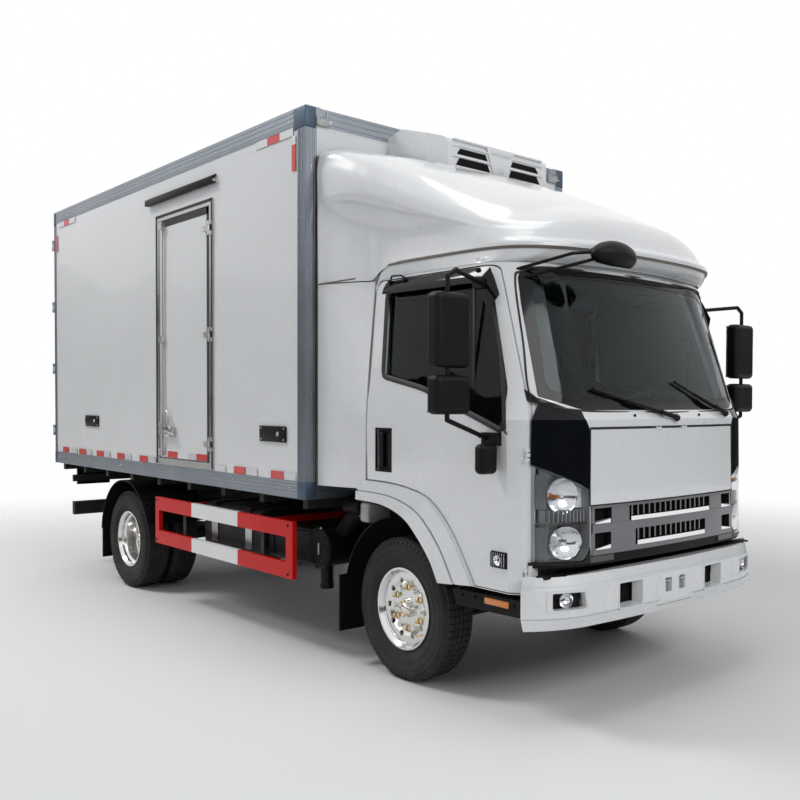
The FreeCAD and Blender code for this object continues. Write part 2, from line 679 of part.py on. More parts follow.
def seats():
    """Driver's seat on the left and a double seat beside it."""
    result = []
    for low_y, high_y in ((180, 700), (-700, 130)):
        base = block((FRONT_AXLE_X - 160, FRONT_AXLE_X + 360), (low_y, high_y), (CAB_FLOOR_TOP + FIT, 1110))
        cushion = block((FRONT_AXLE_X - 170, FRONT_AXLE_X + 380), (low_y - 5, high_y + 5), (1110, 1235))
        back = slab([(FRONT_AXLE_X - 120, 1200), (FRONT_AXLE_X - 10, 1200), (FRONT_AXLE_X - 60, 1760, 40),
                     (FRONT_AXLE_X - 160, 1760, 40)], "y", low_y, high_y)
        result.append(fused([base, cushion, back]))
    return Part.makeCompound(result)


def front_mirror():
    """Close-view mirror in front of the windscreen, on two arms from the roof's corner."""
    x = FRONT_AXLE_X + 1042
    head = Part.makeSphere(120, V(0, 0, 0))
    scale = FreeCAD.Matrix()
    scale.scale(0.48, 1.1, 0.42)
    head = head.transformGeometry(scale)
    head.translate(V(x, -425, 2180))
    arms = [pipe_run([(FRONT_AXLE_X + 690, -780, 2105), (x - 90, -620, 2180), (x, -455, 2200)], 8),
            pipe_run([(FRONT_AXLE_X + 710, -765, 2065), (x - 60, -580, 2140), (x, -455, 2180)], 8)]
    return fused([head] + arms).cut(SEAT_ON_CAB)


WIPERS = (((540, 1425), (130, 1590)), ((30, 1405), (-520, 1545)))


def wipers():
    """Two wiper arms, parked across the foot of the windscreen."""
    result = []
    for (pivot_y, pivot_z), (tip_y, tip_z) in WIPERS:
        def at(share, lift):
            y = pivot_y + (tip_y - pivot_y) * share
            z = pivot_z + (tip_z - pivot_z) * share
            return face_x(y, z) + lift, y, z
        spindle = rod(at(0, -20), at(0, 30), 12)
        arm = pipe_run([at(0, 22), at(0.2, 22), at(0.6, 12)], 6)
        blade = pipe_run([at(0.2, 10), at(0.6, 10), at(1, 10)], 7)
        result.append(fused([spindle, arm, blade]).cut(SEAT_ON_CAB))
    return Part.makeCompound(result)


# Running gear

def c_rail(y_out, low, high, flange, wall, rear, front):
    """A channel rail, open towards the truck's middle, on the left."""
    points = [(y_out, low), (y_out, high), (y_out - flange, high), (y_out - flange, high - wall),
              (y_out - wall, high - wall), (y_out - wall, low + wall), (y_out - flange, low + wall),
              (y_out - flange, low)]
    return slab(points, "x", rear, front)


def frame_rails():
    """Ladder frame with its cross members, and the sub-frame that carries the box."""
    low = RAIL_TOP - RAIL_DEPTH
    rail = c_rail(RAIL_OUTER_Y, low, RAIL_TOP, RAIL_FLANGE, RAIL_WALL, RAIL_REAR, RAIL_FRONT)
    parts = [rail, mirrored(rail)]
    inner = RAIL_OUTER_Y - RAIL_WALL / 2
    stations = (RAIL_FRONT - 60, FRONT_AXLE_X - 1250, REAR_AXLE_X + 640, REAR_AXLE_X - 560, RAIL_REAR + 60)
    for x in stations:
        parts.append(rod((x, -inner, RAIL_TOP - 50), (x, inner, RAIL_TOP - 50), 34))
    for sign in (1, -1):
        parts.append(block((RAIL_REAR, BOX_FRONT - 30), tuple(sorted((sign * 315, sign * RAIL_OUTER_Y))),
                           (RAIL_TOP, RAIL_TOP + SILL_HEIGHT)))
    for sign in (1, -1):
        span = tuple(sorted((sign * 340, sign * RAIL_OUTER_Y)))
        parts.append(rod((TILT_X, span[0], TILT_Z), (TILT_X, span[1], TILT_Z), TILT_BOSS))
        parts.append(rod((TILT_X, sign * 300, TILT_Z), (TILT_X, sign * 350, TILT_Z), TILT_PIN))
        parts.append(block((RAIL_FRONT - 10, TILT_X), span, (TILT_Z - TILT_BOSS, TILT_Z + TILT_BOSS / 2)))
    pitch = (BOX_LENGTH - 160) / (BEARER_COUNT - 1)
    for number in range(BEARER_COUNT):
        x = BOX_REAR + 80 + pitch * number
        parts.append(block((x - 25, x + 25), (-BOX_SIDE + 50, BOX_SIDE - 50),
                           (RAIL_TOP + SILL_HEIGHT, BOX_UNDERSIDE)))
    return fused(parts)


def front_axle():
    """Forged beam with a dropped middle and a boss at each kingpin."""
    half = [(640, 340), (600, 336, 20), (500, 276, 30), (-500, 276, 30), (-600, 336, 20), (-640, 340),
            (-640, 412), (-540, 350, 40), (540, 350, 40), (640, 412)]
    width = AXLE_BEAM_WIDTH / 2
    beam = slab(half, "x", FRONT_AXLE_X - width, FRONT_AXLE_X + width)
    web = slab([(480, 290), (-480, 290), (-500, 336), (500, 336)], "x", FRONT_AXLE_X + 12,
               FRONT_AXLE_X + width + 1)
    beam = beam.cut(web).cut(web.mirror(V(FRONT_AXLE_X, 0, 0), V(1, 0, 0)))
    for sign in (1, -1):
        y = sign * KINGPIN_Y
        beam = beam.fuse(rod((FRONT_AXLE_X, y, TYRE_RADIUS - 42), (FRONT_AXLE_X, y, TYRE_RADIUS + 42), 36))
        beam = beam.cut(rod((FRONT_AXLE_X, y, 0), (FRONT_AXLE_X, y, 900), KINGPIN_RADIUS + FIT))
    return beam


def leaf_pack(x, y, half, sag, leaves, seat):
    """A pack of curved leaves with its eyes, hangers and clamps, on the left."""
    radius = (half * half + sag * sag) / (2 * sag)
    centre = seat + leaves * LEAF + radius
    parts = []
    for number in range(leaves):
        outer = radius + number * LEAF
        reach = math.degrees(math.asin(half * (1 - 0.2 * number) / radius))
        parts.append(arc_band(x, centre, outer, outer + LEAF + 0.01, 270 - reach, 270 + reach,
                              y - SPRING_WIDTH / 2, y + SPRING_WIDTH / 2))
    low = RAIL_TOP - RAIL_DEPTH
    eye_z = centre - math.sqrt(radius ** 2 - half ** 2)
    for sign in (1, -1):
        eye_x = x + sign * half
        parts.append(rod((eye_x, y - SPRING_WIDTH / 2, eye_z), (eye_x, y + SPRING_WIDTH / 2, eye_z), 24))
        hanger = slab([(eye_x - 22, eye_z), (eye_x + 22, eye_z), (eye_x + 55, low + 60),
                       (eye_x - 55, low + 60)],
                      "y", RAIL_OUTER_Y + FIT, y + SPRING_WIDTH / 2)
        parts.append(hanger)
    top = seat + leaves * LEAF
    parts.append(block((x - 60, x + 60), (y - 50, y + 50), (top, top + 14)))
    return fused(parts)


def leaf_springs():
    """Four leaf packs between the frame's brackets and the axles."""
    front = leaf_pack(FRONT_AXLE_X, FRONT_SPRING_Y, 560, 95, 3, 350 + FIT)
    rear = leaf_pack(REAR_AXLE_X, REAR_SPRING_Y, 590, 70, 4, TYRE_RADIUS + 62 + FIT)
    return Part.makeCompound([pair(front), pair(rear)])


def rear_axle():
    """Axle tube with the differential's housing in the middle and a spindle at each end."""
    profile = [(0, -880), (30, -880), (30, -600), (50, -590), (50, -230), (110, -165), (150, -90), (150, 90),
               (110, 165), (50, 230), (50, 590), (30, 600), (30, 880), (0, 880)]
    housing = turned(profile, REAR_AXLE_X, TYRE_RADIUS)
    nose = rod((REAR_AXLE_X, 0, TYRE_RADIUS), (REAR_AXLE_X + 260, 0, TYRE_RADIUS + 30), 62)
    parts = [housing, nose]
    for sign in (1, -1):
        y = sign * REAR_SPRING_Y
        parts.append(block((REAR_AXLE_X - 45, REAR_AXLE_X + 45), (y - 40, y + 40),
                           (TYRE_RADIUS, TYRE_RADIUS + 62)))
    return fused(parts)


ENGINE_X = (FRONT_AXLE_X - 560, FRONT_AXLE_X + 340)


def engine_block():
    """Engine as one plain block between the rails, on its mounts."""
    body = block(ENGINE_X, (-285, 285), (440, 940))
    mounts = block((FRONT_AXLE_X - 60, FRONT_AXLE_X + 40), (-366, 366), (660, 700))
    return body.fuse(mounts)


def driveline():
    """Gearbox behind the engine and the propeller shaft to the rear axle."""
    box_end = ENGINE_X[0] - 560
    gearbox = slab([(ENGINE_X[0], 480), (ENGINE_X[0], 850), (ENGINE_X[0] - 160, 800, 60), (box_end, 700, 40),
                    (box_end, 520, 40)], "y", -170, 170)
    nose = V(REAR_AXLE_X + 260, 0, TYRE_RADIUS + 30)
    ahead = V(260, 0, 30).normalize()
    flange = rod(tuple(nose + ahead * FIT), tuple(nose + ahead * 22), 58)
    shaft = rod((box_end - 1, 0, 600), tuple(nose + ahead * 12), 42)
    shaft = shaft.cut(rod(tuple(nose - ahead * 60), tuple(nose + ahead * FIT), 80))
    return fused([gearbox, shaft, flange])


def exhaust():
    """Silencer and pipe along the left rail, with brackets to the frame."""
    y = 560
    silencer = rod((FRONT_AXLE_X - 1650, y, 560), (FRONT_AXLE_X - 1000, y, 560), 115)
    pipe = pipe_run([(ENGINE_X[0] - FIT, 235, 560), (ENGINE_X[0] - 240, 235, 560),
                     (FRONT_AXLE_X - 930, y - 60, 560),
                     (FRONT_AXLE_X - 1010, y, 560)], 35)
    tail = pipe_run([(FRONT_AXLE_X - 1640, y, 560), (FRONT_AXLE_X - 1900, y, 560),
                     (FRONT_AXLE_X - 2020, 850, 500)], 35)
    strap = block((FRONT_AXLE_X - 1340, FRONT_AXLE_X - 1300), (RAIL_OUTER_Y, y), (640, 700))
    return fused([silencer, pipe, tail, strap])


def fuel_tank():
    """Tank on the right of the frame, on two straps."""
    length = 780
    rear = FRONT_AXLE_X - 2250
    body = slab([(-480, 440), (-880, 440), (-880, 770), (-480, 770)], "x", rear, rear + length, 50)
    straps = [block((x, x + 45), (-884, -RAIL_OUTER_Y), (430, 780))
              for x in (rear + 130, rear + length - 175)]
    cores = block((rear - 10, rear + length + 10), (-870, -490), (445, 765))
    return fused([body] + [strap.cut(cores) for strap in straps])


def air_cleaner():
    """Round air cleaner behind the right front wheel, with its intake neck and drain."""
    x, z = FRONT_AXLE_X - 740, 615
    case = turned([(0, -930), (100, -930), (118, -918), (118, -880), (108, -872), (108, -648), (100, -640),
                   (0, -640)],
                  x, z)
    neck = pipe_run([(x + 30, -780, z + 60), (x + 130, -760, z + 190), (x + 210, -700, z + 230)], 48)
    drain = rod((x + 20, -870, z - 220), (x + 20, -870, z - 80), 38)
    bracket = block((x - 40, x + 40), (-660, -RAIL_OUTER_Y), (z + 20, z + 80))
    reservoir = block((x + 250, x + 330), (-800, -640), (790, 900))
    reservoir = reservoir.makeFillet(18, reservoir.Edges)
    shelf = block((x + 190, x + 300), (-740, -RAIL_OUTER_Y), (770, 795))
    return fused([case, neck, drain, bracket, reservoir, shelf])


def battery_box():
    """Battery box on the right of the frame, between the tank and the air cleaner."""
    rear = FRONT_AXLE_X - 1420
    body = slab([(-430, 480), (-850, 480), (-850, 700), (-430, 700)], "x", rear, rear + 540, 20)
    hangers = [block((x, x + 40), (-440, -RAIL_OUTER_Y), (640, 690)) for x in (rear + 60, rear + 440)]
    return fused([body] + hangers)


def side_guards():
    """Rectangular guard on each side between the wheels, on two arms from the frame."""
    front = FRONT_AXLE_X - 843
    rear = FRONT_AXLE_X - 2745
    low, high = 430.0, 770.0
    y = 1030.0
    frame = slab([(rear, low), (front, low), (front, high), (rear, high)], "y", y - 30, y)
    hole = block((rear + 60, front - 75), (y - 60, y + 60), (low + 95, high - 95))
    guard = frame.cut(hole)
    arms = []
    for x in (front - 400, rear + 420):
        arms.append(block((x - 20, x + 20), (RAIL_OUTER_Y, y - 30), (high - 60, high - 20)))
    return pair(fused([guard] + arms))


LINER_RADIUS = 488.0
REAR_GUARD_RADIUS = 464.0
GUARD_WALL = 6.0


def on_guard(radius, z):
    """How far behind its axle a mudguard's middle lies at one height."""
    return math.sqrt((radius + GUARD_WALL / 2) ** 2 - (z - TYRE_RADIUS) ** 2)


def mudguards():
    """Liners behind the front wheels and arches with flaps over the rear wheels."""
    front = arc_band(FRONT_AXLE_X, TYRE_RADIUS, LINER_RADIUS, LINER_RADIUS + GUARD_WALL, 100, 185, 470, 900)
    flap_x = FRONT_AXLE_X - LINER_RADIUS
    flap = block((flap_x - 10, flap_x + 2), (770, 940), (180, 500))
    post_z = RAIL_TOP - RAIL_DEPTH + 40
    post_x = FRONT_AXLE_X - on_guard(LINER_RADIUS, post_z)
    post = block((post_x - 14, post_x + 14), (RAIL_OUTER_Y, 480), (post_z - 20, post_z + 20))
    front = fused([front, flap, post])
    rear = arc_band(REAR_AXLE_X, TYRE_RADIUS, REAR_GUARD_RADIUS, REAR_GUARD_RADIUS + GUARD_WALL, 20, 175,
                    545, 1020)
    flap_x = REAR_AXLE_X - REAR_GUARD_RADIUS
    rear_flap = block((flap_x - 12, flap_x + 1), (560, 1010), (180, TYRE_RADIUS + 60))
    stay_z = RAIL_TOP - RAIL_DEPTH + 60
    reach = on_guard(REAR_GUARD_RADIUS, stay_z)
    stays = [rod((REAR_AXLE_X + x, RAIL_OUTER_Y, stay_z), (REAR_AXLE_X + x, 1000, stay_z), 12)
             for x in (-reach, reach)]
    rear = fused([rear, rear_flap] + stays)
    return Part.makeCompound([pair(front), pair(rear)])


def bumper_form(front, side_x, half, low, high):
    """A bumper-like bar: curved across the front and wrapped round the corners."""
    sections = []
    for z, shift in ((low, -25), (low + 60, 0), (high - 60, 0), (high, -18)):
        nose = front + shift
        knee = nose - 28
        wide = half + shift * 0.6
        right = Part.Arc(V(side_x, -wide, z), V(nose - 70, -wide + 140, z), V(knee, -620, z)).toShape()
        middle = Part.Arc(V(knee, -620, z), V(nose, 0, z), V(knee, 620, z)).toShape()
        left = Part.Arc(V(knee, 620, z), V(nose - 70, wide - 140, z), V(side_x, wide, z)).toShape()
        back = Part.makeLine(V(side_x, wide, z), V(side_x, -wide, z))
        sections.append(Part.Wire([right, middle, left, back]))
    return Part.makeLoft(sections, True, True)


TOW_OPENING = ((268, 505), (435, 505), (435, 622), (268, 622))
FOG_OUTLINE = ((655, 535), (828, 540), (828, 618), (665, 612))
FOG_RADIUS = 10.0
PLATE_BOLTS = (250.0, 110.0, 556.0)
PLATE_BOLT_RADIUS = 4.0
TOW_BOLTS = (160.0, 80.0, 500.0)
TOW_BOLT_RADIUS = 7.0


def bolt_holes(low_x, high_x, pattern, radius):
    """Four holes along X at the corners of a rectangle centred on the truck's middle."""
    wide, tall, middle = pattern
    return [rod((low_x, y, z), (high_x, y, z), radius)
            for y in (-wide / 2, wide / 2) for z in (middle - tall / 2, middle + tall / 2)]


def front_bumper():
    """White bumper wrapped round the corners, with two square openings and its mounts."""
    front = FRONT_AXLE_X + FRONT_OVERHANG
    side = FRONT_AXLE_X + 940
    outer = bumper_form(front, side, 942, BUMPER_BOTTOM, BUMPER_TOP)
    inner = bumper_form(front - 30, side - 1, 914, BUMPER_BOTTOM - 5, BUMPER_TOP - 25)
    mouth = block((side - 1, front - 72), (-880, 880), (BUMPER_TOP - 30, BUMPER_TOP + 5))
    shell = outer.cut(inner).cut(mouth)
    hole = slab(TOW_OPENING, "x", side, front + 50, 14)
    shell = shell.cut(hole).cut(mirrored(hole))
    fog = slab(FOG_OUTLINE, "x", side, front + 50, FOG_RADIUS)
    shell = shell.cut(fog).cut(mirrored(fog))
    plate = block((front - 12, front), (-145, 145), (480, 632))
    holes = [block((front - 60, front + 20), (y, y + 55), (535, 605)) for y in (-85, 30)]
    shell = shell.fuse(plate)
    holes += bolt_holes(front - 80, front + 20, PLATE_BOLTS, PLATE_BOLT_RADIUS)
    for hole in holes:
        shell = shell.cut(hole)
    mount = block((RAIL_FRONT, front - 28), (300, RAIL_OUTER_Y), (650, 676))
    return fused([shell, mount, mirrored(mount)])


def rear_bumper():
    """Under-run bar across the rear on two hangers, with a bar for the lamps above it."""
    rear = BOX_REAR - 10
    bar = slab([(rear, 440), (rear + 60, 440), (rear + 60, 560), (rear, 560)], "y", -930, 930, 12)
    for hole in bolt_holes(rear - 20, rear + 80, TOW_BOLTS, TOW_BOLT_RADIUS):
        bar = bar.cut(hole)
    parts = [bar]
    for sign in (1, -1):
        span = tuple(sorted((sign * 320, sign * RAIL_OUTER_Y)))
        parts.append(block((rear + 5, RAIL_REAR - FIT), span, (550, RAIL_TOP - 4)))
    parts.append(block((rear + 5, rear + 35), (-930, 930), (740, 800)))
    return fused(parts)


def tail_lamps():
    """A cluster at each end of the lamp bar, facing back."""
    rear = BOX_REAR - 10
    lamp = slab([(600, 715), (880, 715), (880, 850), (600, 850)], "x", rear - 22, rear + 5 - FIT, 12)
    return pair(lamp)


def clear_lamps():
    """Fog lamps in the bumper and marker lamps on the box's front corners."""
    middle_y = sum(p[0] for p in FOG_OUTLINE) / len(FOG_OUTLINE)
    middle_z = sum(p[1] for p in FOG_OUTLINE) / len(FOG_OUTLINE)
    points = [(y - math.copysign(FIT, y - middle_y), z - math.copysign(FIT, z - middle_z))
              for y, z in FOG_OUTLINE]
    fog = slab(points, "x", FRONT_AXLE_X + 1010, FRONT_AXLE_X + 1062, FOG_RADIUS)
    fog = fog.common(bumper_form(FRONT_AXLE_X + FRONT_OVERHANG - 8, FRONT_AXLE_X + 941, 930, BUMPER_BOTTOM,
                                 BUMPER_TOP))
    marker = slab([(925, 3044), (1000, 3044), (1000, 3088), (925, 3088)], "x", BOX_FRONT + FIT,
                  BOX_FRONT + 40, 20)
    return Part.makeCompound([pair(fog), pair(marker)])


# Wheels

def tyre(y, x):
    """A tyre centred on y, bead to bead over its tread."""
    half = TYRE_WIDTH / 2
    side = [(BEAD_RADIUS + FIT, 66), (BEAD_RADIUS + 23, 71), (TYRE_RADIUS - 90, half),
            (TYRE_RADIUS - 50, half - 3),
            (TYRE_RADIUS - 18, half - 18), (TYRE_RADIUS, half - 26)]
    profile = side + [(r, -v) for r, v in reversed(side)]
    return turned([(r, y + v) for r, v in profile], x, TYRE_RADIUS)


def barrel(y, flip):
    """The rim's barrel and flanges as (radius, y) points, without its disc."""
    half = RIM_WIDTH / 2
    side = -1 if flip else 1
    profile = [(FLANGE_RADIUS, half), (FLANGE_RADIUS, half - 11), (BEAD_RADIUS, half - 13), (BEAD_RADIUS, 20),
               (BEAD_RADIUS - 16, 8), (BEAD_RADIUS - 16, -30), (BEAD_RADIUS, -42), (BEAD_RADIUS, -half + 13),
               (FLANGE_RADIUS, -half + 11), (FLANGE_RADIUS, -half), (FLANGE_RADIUS - 10, -half),
               (BEAD_RADIUS - RIM_WALL, -half + 20), (BEAD_RADIUS - RIM_WALL, -44),
               (BEAD_RADIUS - 16 - RIM_WALL, -32), (BEAD_RADIUS - 16 - RIM_WALL, 10),
               (BEAD_RADIUS - RIM_WALL, 22), (BEAD_RADIUS - RIM_WALL, half - 20), (FLANGE_RADIUS - 10, half)]
    return [(r, y + side * v) for r, v in profile]


def with_nuts(disc, x, y, out):
    """Wheel nuts round the hub and hand holes in the disc."""
    for hole_x, hole_z in ring(HAND_HOLE_COUNT, HAND_HOLE_CIRCLE, x, TYRE_RADIUS):
        disc = disc.cut(rod((hole_x, y - 120, hole_z), (hole_x, y + 120, hole_z), HAND_HOLE_RADIUS))
    nuts = [rod((nut_x, y, nut_z), (nut_x, y + out, nut_z), 15)
            for nut_x, nut_z in ring(NUT_COUNT, NUT_CIRCLE, x, TYRE_RADIUS)]
    return [disc] + nuts


def front_rim():
    """Left front rim: bright disc dished outwards, hub and nuts."""
    y = FRONT_TRACK / 2
    parts = [turned(barrel(y, False), FRONT_AXLE_X, TYRE_RADIUS)]
    face = y + 40
    disc = turned([(30.3, face - 12), (30.3, face + 30), (48, face + 30), (52, face), (125, face),
                   (150, face + 12), (195, face + 14), (195, face - 3), (160, face - 4), (130, face - 14)],
                  FRONT_AXLE_X, TYRE_RADIUS)
    parts += with_nuts(disc, FRONT_AXLE_X, face - 2, 24)
    drum = turned([(30.3, face - 90), (120, face - 90), (150, face - 84), (150, face - 8), (30.3, face - 8)],
                  FRONT_AXLE_X, TYRE_RADIUS)
    parts.append(drum)
    return fused(parts)


def rear_rim():
    """Left rear rims: two deep dishes bolted face to face on the hub and drum."""
    outer = REAR_OUTER_TRACK / 2
    inner = outer - TWIN_SPACING
    meet = (outer + inner) / 2
    parts = [turned(barrel(outer, True), REAR_AXLE_X, TYRE_RADIUS),
             turned(barrel(inner, False), REAR_AXLE_X, TYRE_RADIUS)]
    half_disc = [(30.3, 11), (132, 11), (142, 20), (160, 52), (172, 58), (194, 58), (194, 46), (174, 46),
                 (152, 0)]
    profile = [(r, meet + v) for r, v in half_disc] + [(r, meet - v) for r, v in reversed(half_disc[:-1])]
    disc = turned(profile, REAR_AXLE_X, TYRE_RADIUS)
    parts += with_nuts(disc, REAR_AXLE_X, meet + 10, 26)
    hub = turned([(30.3, meet + 10), (30.3, meet + 110), (48, meet + 110), (62, meet + 90), (66, meet + 10)],
                 REAR_AXLE_X, TYRE_RADIUS)
    cap = turned([(0, meet + 106), (0, meet + 118), (40, meet + 118), (48, meet + 106)], REAR_AXLE_X,
                 TYRE_RADIUS)
    drum = turned([(30.3, meet - 10), (30.3, meet - 150), (130, meet - 150), (146, meet - 140),
                   (146, meet - 10)],
                  REAR_AXLE_X, TYRE_RADIUS)
    return fused(parts + [hub, cap, drum])


def knuckle():
    """Left knuckle: yoke round the axle's boss, spindle for the hub and steering arm."""
    y = KINGPIN_Y
    pin = rod((FRONT_AXLE_X, y, TYRE_RADIUS - 80), (FRONT_AXLE_X, y, TYRE_RADIUS + 80), KINGPIN_RADIUS)
    top = rod((FRONT_AXLE_X, y, TYRE_RADIUS + 42 + FIT), (FRONT_AXLE_X, y, TYRE_RADIUS + 80), 32)
    bottom = rod((FRONT_AXLE_X, y, TYRE_RADIUS - 80), (FRONT_AXLE_X, y, TYRE_RADIUS - 42 - FIT), 32)
    yoke = slab([(y, 300), (y + 54, 300), (y + 54, 460), (y, 460), (y, 424), (y + 40, 424), (y + 40, 336),
                 (y, 336)],
                "x", FRONT_AXLE_X - 30, FRONT_AXLE_X + 30)
    spindle = rod((FRONT_AXLE_X, y + 50, TYRE_RADIUS), (FRONT_AXLE_X, y + 195, TYRE_RADIUS), 30)
    arm = pipe_run([(FRONT_AXLE_X, y, TYRE_RADIUS - 74), (FRONT_AXLE_X - 60, y, TYRE_RADIUS - 74),
                    (FRONT_AXLE_X - STEERING_ARM, TIE_ROD_Y, TIE_ROD_Z + 42)], 14)
    ball = rod((FRONT_AXLE_X - STEERING_ARM, TIE_ROD_Y, TIE_ROD_Z + 16 + FIT),
               (FRONT_AXLE_X - STEERING_ARM, TIE_ROD_Y, TIE_ROD_Z + 54), 18)
    return fused([pin, top, bottom, yoke, spindle, arm, ball])


def tie_rod():
    """Track rod between the two steering arms."""
    x = FRONT_AXLE_X - STEERING_ARM
    return fused([
        rod((x, -TIE_ROD_Y, TIE_ROD_Z), (x, TIE_ROD_Y, TIE_ROD_Z), 14),
        rod((x, -TIE_ROD_Y, TIE_ROD_Z - 16), (x, -TIE_ROD_Y, TIE_ROD_Z + 16), 20),
        rod((x, TIE_ROD_Y, TIE_ROD_Z - 16), (x, TIE_ROD_Y, TIE_ROD_Z + 16), 20),
    ])


# Insulated box

PANEL_SIDE = BOX_SIDE - TRIM
PANEL_FRONT = BOX_FRONT - TRIM
PANEL_REAR = BOX_REAR + TRIM
PANEL_TOP_Z = BOX_TOP - TRIM
WALL_FOOT = BOX_UNDERSIDE + BOX_FLOOR - FLOOR_REBATE
DOOR_THICK = 75.0
LEAF_PROUD = 8.0
LEAF_MEETING = 6.5
REAR_HINGE_X = BOX_REAR - LEAF_PROUD - 8
REAR_HINGE_Y = BOX_SIDE + 4
REAR_BAR_INNER_Y = 150.0
REAR_BAR_OUTER_Y = 620.0
SIDE_HINGE_X = SIDE_DOOR_FRONT - DOOR_FRAME + 12
SIDE_HINGE_Y = -BOX_SIDE - 16


def rear_hinge_heights():
    low = BOX_UNDERSIDE + RAIL_COVER
    for number in range(4):
        yield low + 190 + number * (BOX_HEIGHT - 2 * RAIL_COVER - 380) / 3


def side_hinge_heights():
    return (SIDE_DOOR_BOTTOM + 168, (SIDE_DOOR_BOTTOM + SIDE_DOOR_TOP) / 2, SIDE_DOOR_TOP - 195)


def box_floor():
    """Floor panel with a rebate along three edges, where the walls stand."""
    top = BOX_UNDERSIDE + BOX_FLOOR
    half = PANEL_SIDE - BOX_WALL - FIT
    return fused([
        block((PANEL_REAR, PANEL_FRONT), (-PANEL_SIDE, PANEL_SIDE), (BOX_UNDERSIDE, WALL_FOOT)),
        block((PANEL_REAR, PANEL_FRONT - BOX_WALL - FIT), (-half, half), (WALL_FOOT, top)),
    ])


def box_roof():
    return block((PANEL_REAR, PANEL_FRONT), (-PANEL_SIDE, PANEL_SIDE), (PANEL_TOP_Z - BOX_WALL, PANEL_TOP_Z))


def side_wall():
    """Left wall panel between the floor and the roof."""
    return block((PANEL_REAR, PANEL_FRONT), (PANEL_SIDE - BOX_WALL, PANEL_SIDE),
                 (WALL_FOOT, PANEL_TOP_Z - BOX_WALL))


def box_wall_right():
    wall = mirrored(side_wall())
    hole = block((SIDE_DOOR_REAR, SIDE_DOOR_FRONT), (-BOX_SIDE - 10, -BOX_SIDE + 200),
                 (SIDE_DOOR_BOTTOM, SIDE_DOOR_TOP))
    return wall.cut(hole)


EVAPORATOR_HALF = 480.0


def box_wall_front():
    """Front wall panel, with the opening that the cooling unit's neck passes through."""
    wall = block((PANEL_FRONT - BOX_WALL, PANEL_FRONT), (-PANEL_SIDE + BOX_WALL, PANEL_SIDE - BOX_WALL),
                 (WALL_FOOT, PANEL_TOP_Z - BOX_WALL))
    return wall.cut(block((PANEL_FRONT - 100, PANEL_FRONT + 10), (-300, 300), (2720, 2900)))


def angle_trim(low, high, corner, legs, axis):
    """An angle section laid over an outside corner."""
    (u, v), (du, dv) = corner, legs
    su, sv = math.copysign(TRIM, du), math.copysign(TRIM, dv)
    points = [(u, v), (u + du, v), (u + du, v + sv), (u + su, v + sv), (u + su, v + dv), (u, v + dv)]
    return slab(points, axis, low, high)


def rear_post():
    """Left post that the rear leaf hangs on, with its halves of the hinges."""
    y = BOX_SIDE
    low, high = BOX_UNDERSIDE + RAIL_COVER, BOX_TOP - RAIL_COVER
    parts = [slab([(BOX_REAR, y), (BOX_REAR + 45, y), (BOX_REAR + 45, y - TRIM), (BOX_REAR + TRIM, y - TRIM),
                   (BOX_REAR + TRIM, y - TRIM - BOX_WALL), (BOX_REAR, y - TRIM - BOX_WALL)], "z", low, high)]
    for z in rear_hinge_heights():
        for foot in (z - HINGE_HALF - HINGE_LUG, z + HINGE_HALF):
            span = (foot, foot + HINGE_LUG)
            parts.append(rod((REAR_HINGE_X, REAR_HINGE_Y, span[0]), (REAR_HINGE_X, REAR_HINGE_Y, span[1]),
                             11))
            parts.append(block((REAR_HINGE_X, BOX_REAR), (REAR_HINGE_Y - 40, REAR_HINGE_Y), span))
    return fused(parts)


def box_frame():
    """Rails, posts and cross strips over the box's edges, laid end to end."""
    low, high = BOX_UNDERSIDE + RAIL_COVER, BOX_TOP - RAIL_COVER
    y = BOX_SIDE
    left = [
        angle_trim(BOX_REAR, BOX_FRONT, (y, BOX_TOP), (-RAIL_COVER, -RAIL_COVER), "x"),
        block((BOX_REAR, BOX_FRONT), (y - TRIM, y), (BOX_UNDERSIDE, low)),
        slab([(BOX_FRONT, y), (BOX_FRONT - POST_COVER, y), (BOX_FRONT - POST_COVER, y - TRIM),
              (BOX_FRONT - TRIM, y - TRIM), (BOX_FRONT - TRIM, y - 75), (BOX_FRONT, y - 75)], "z", low, high),
        rear_post(),
    ]
    strips = []
    for x in (BOX_FRONT - TRIM, BOX_REAR):
        for z in ((high, BOX_TOP - TRIM), (BOX_UNDERSIDE, low)):
            strips.append(block((x, x + TRIM), (-y + TRIM, y - TRIM), z))
    return Part.makeCompound(left + [mirrored(piece) for piece in left] + strips)


def side_door_frame():
    """Frame round the side door, with the rain gutter over it."""
    outer = block((SIDE_DOOR_REAR, SIDE_DOOR_FRONT), (-BOX_SIDE - 6, -PANEL_SIDE + BOX_WALL),
                  (SIDE_DOOR_BOTTOM, SIDE_DOOR_TOP))
    inner = block((SIDE_DOOR_REAR + DOOR_FRAME, SIDE_DOOR_FRONT - DOOR_FRAME), (-BOX_SIDE - 50, 0),
                  (SIDE_DOOR_BOTTOM + DOOR_FRAME, SIDE_DOOR_TOP - DOOR_FRAME))
    rear = FRONT_AXLE_X - 2730
    front = FRONT_AXLE_X - 1694
    top = 2925
    gutter = slab([(-PANEL_SIDE, top), (-PANEL_SIDE - 32, top - 20), (-PANEL_SIDE - 32, top - 32),
                   (-PANEL_SIDE, top - 32)], "x", rear, front)
    frame = [outer.cut(inner)]
    for z in side_hinge_heights():
        for low in (z - HINGE_HALF - HINGE_LUG, z + HINGE_HALF):
            high = low + HINGE_LUG
            frame.append(rod((SIDE_HINGE_X, SIDE_HINGE_Y, low), (SIDE_HINGE_X, SIDE_HINGE_Y, high), 10))
            frame.append(block((SIDE_HINGE_X, SIDE_HINGE_X + 30), (SIDE_HINGE_Y - 4, -BOX_SIDE - 6),
                               (low, high)))
    return Part.makeCompound([fused(frame), gutter])


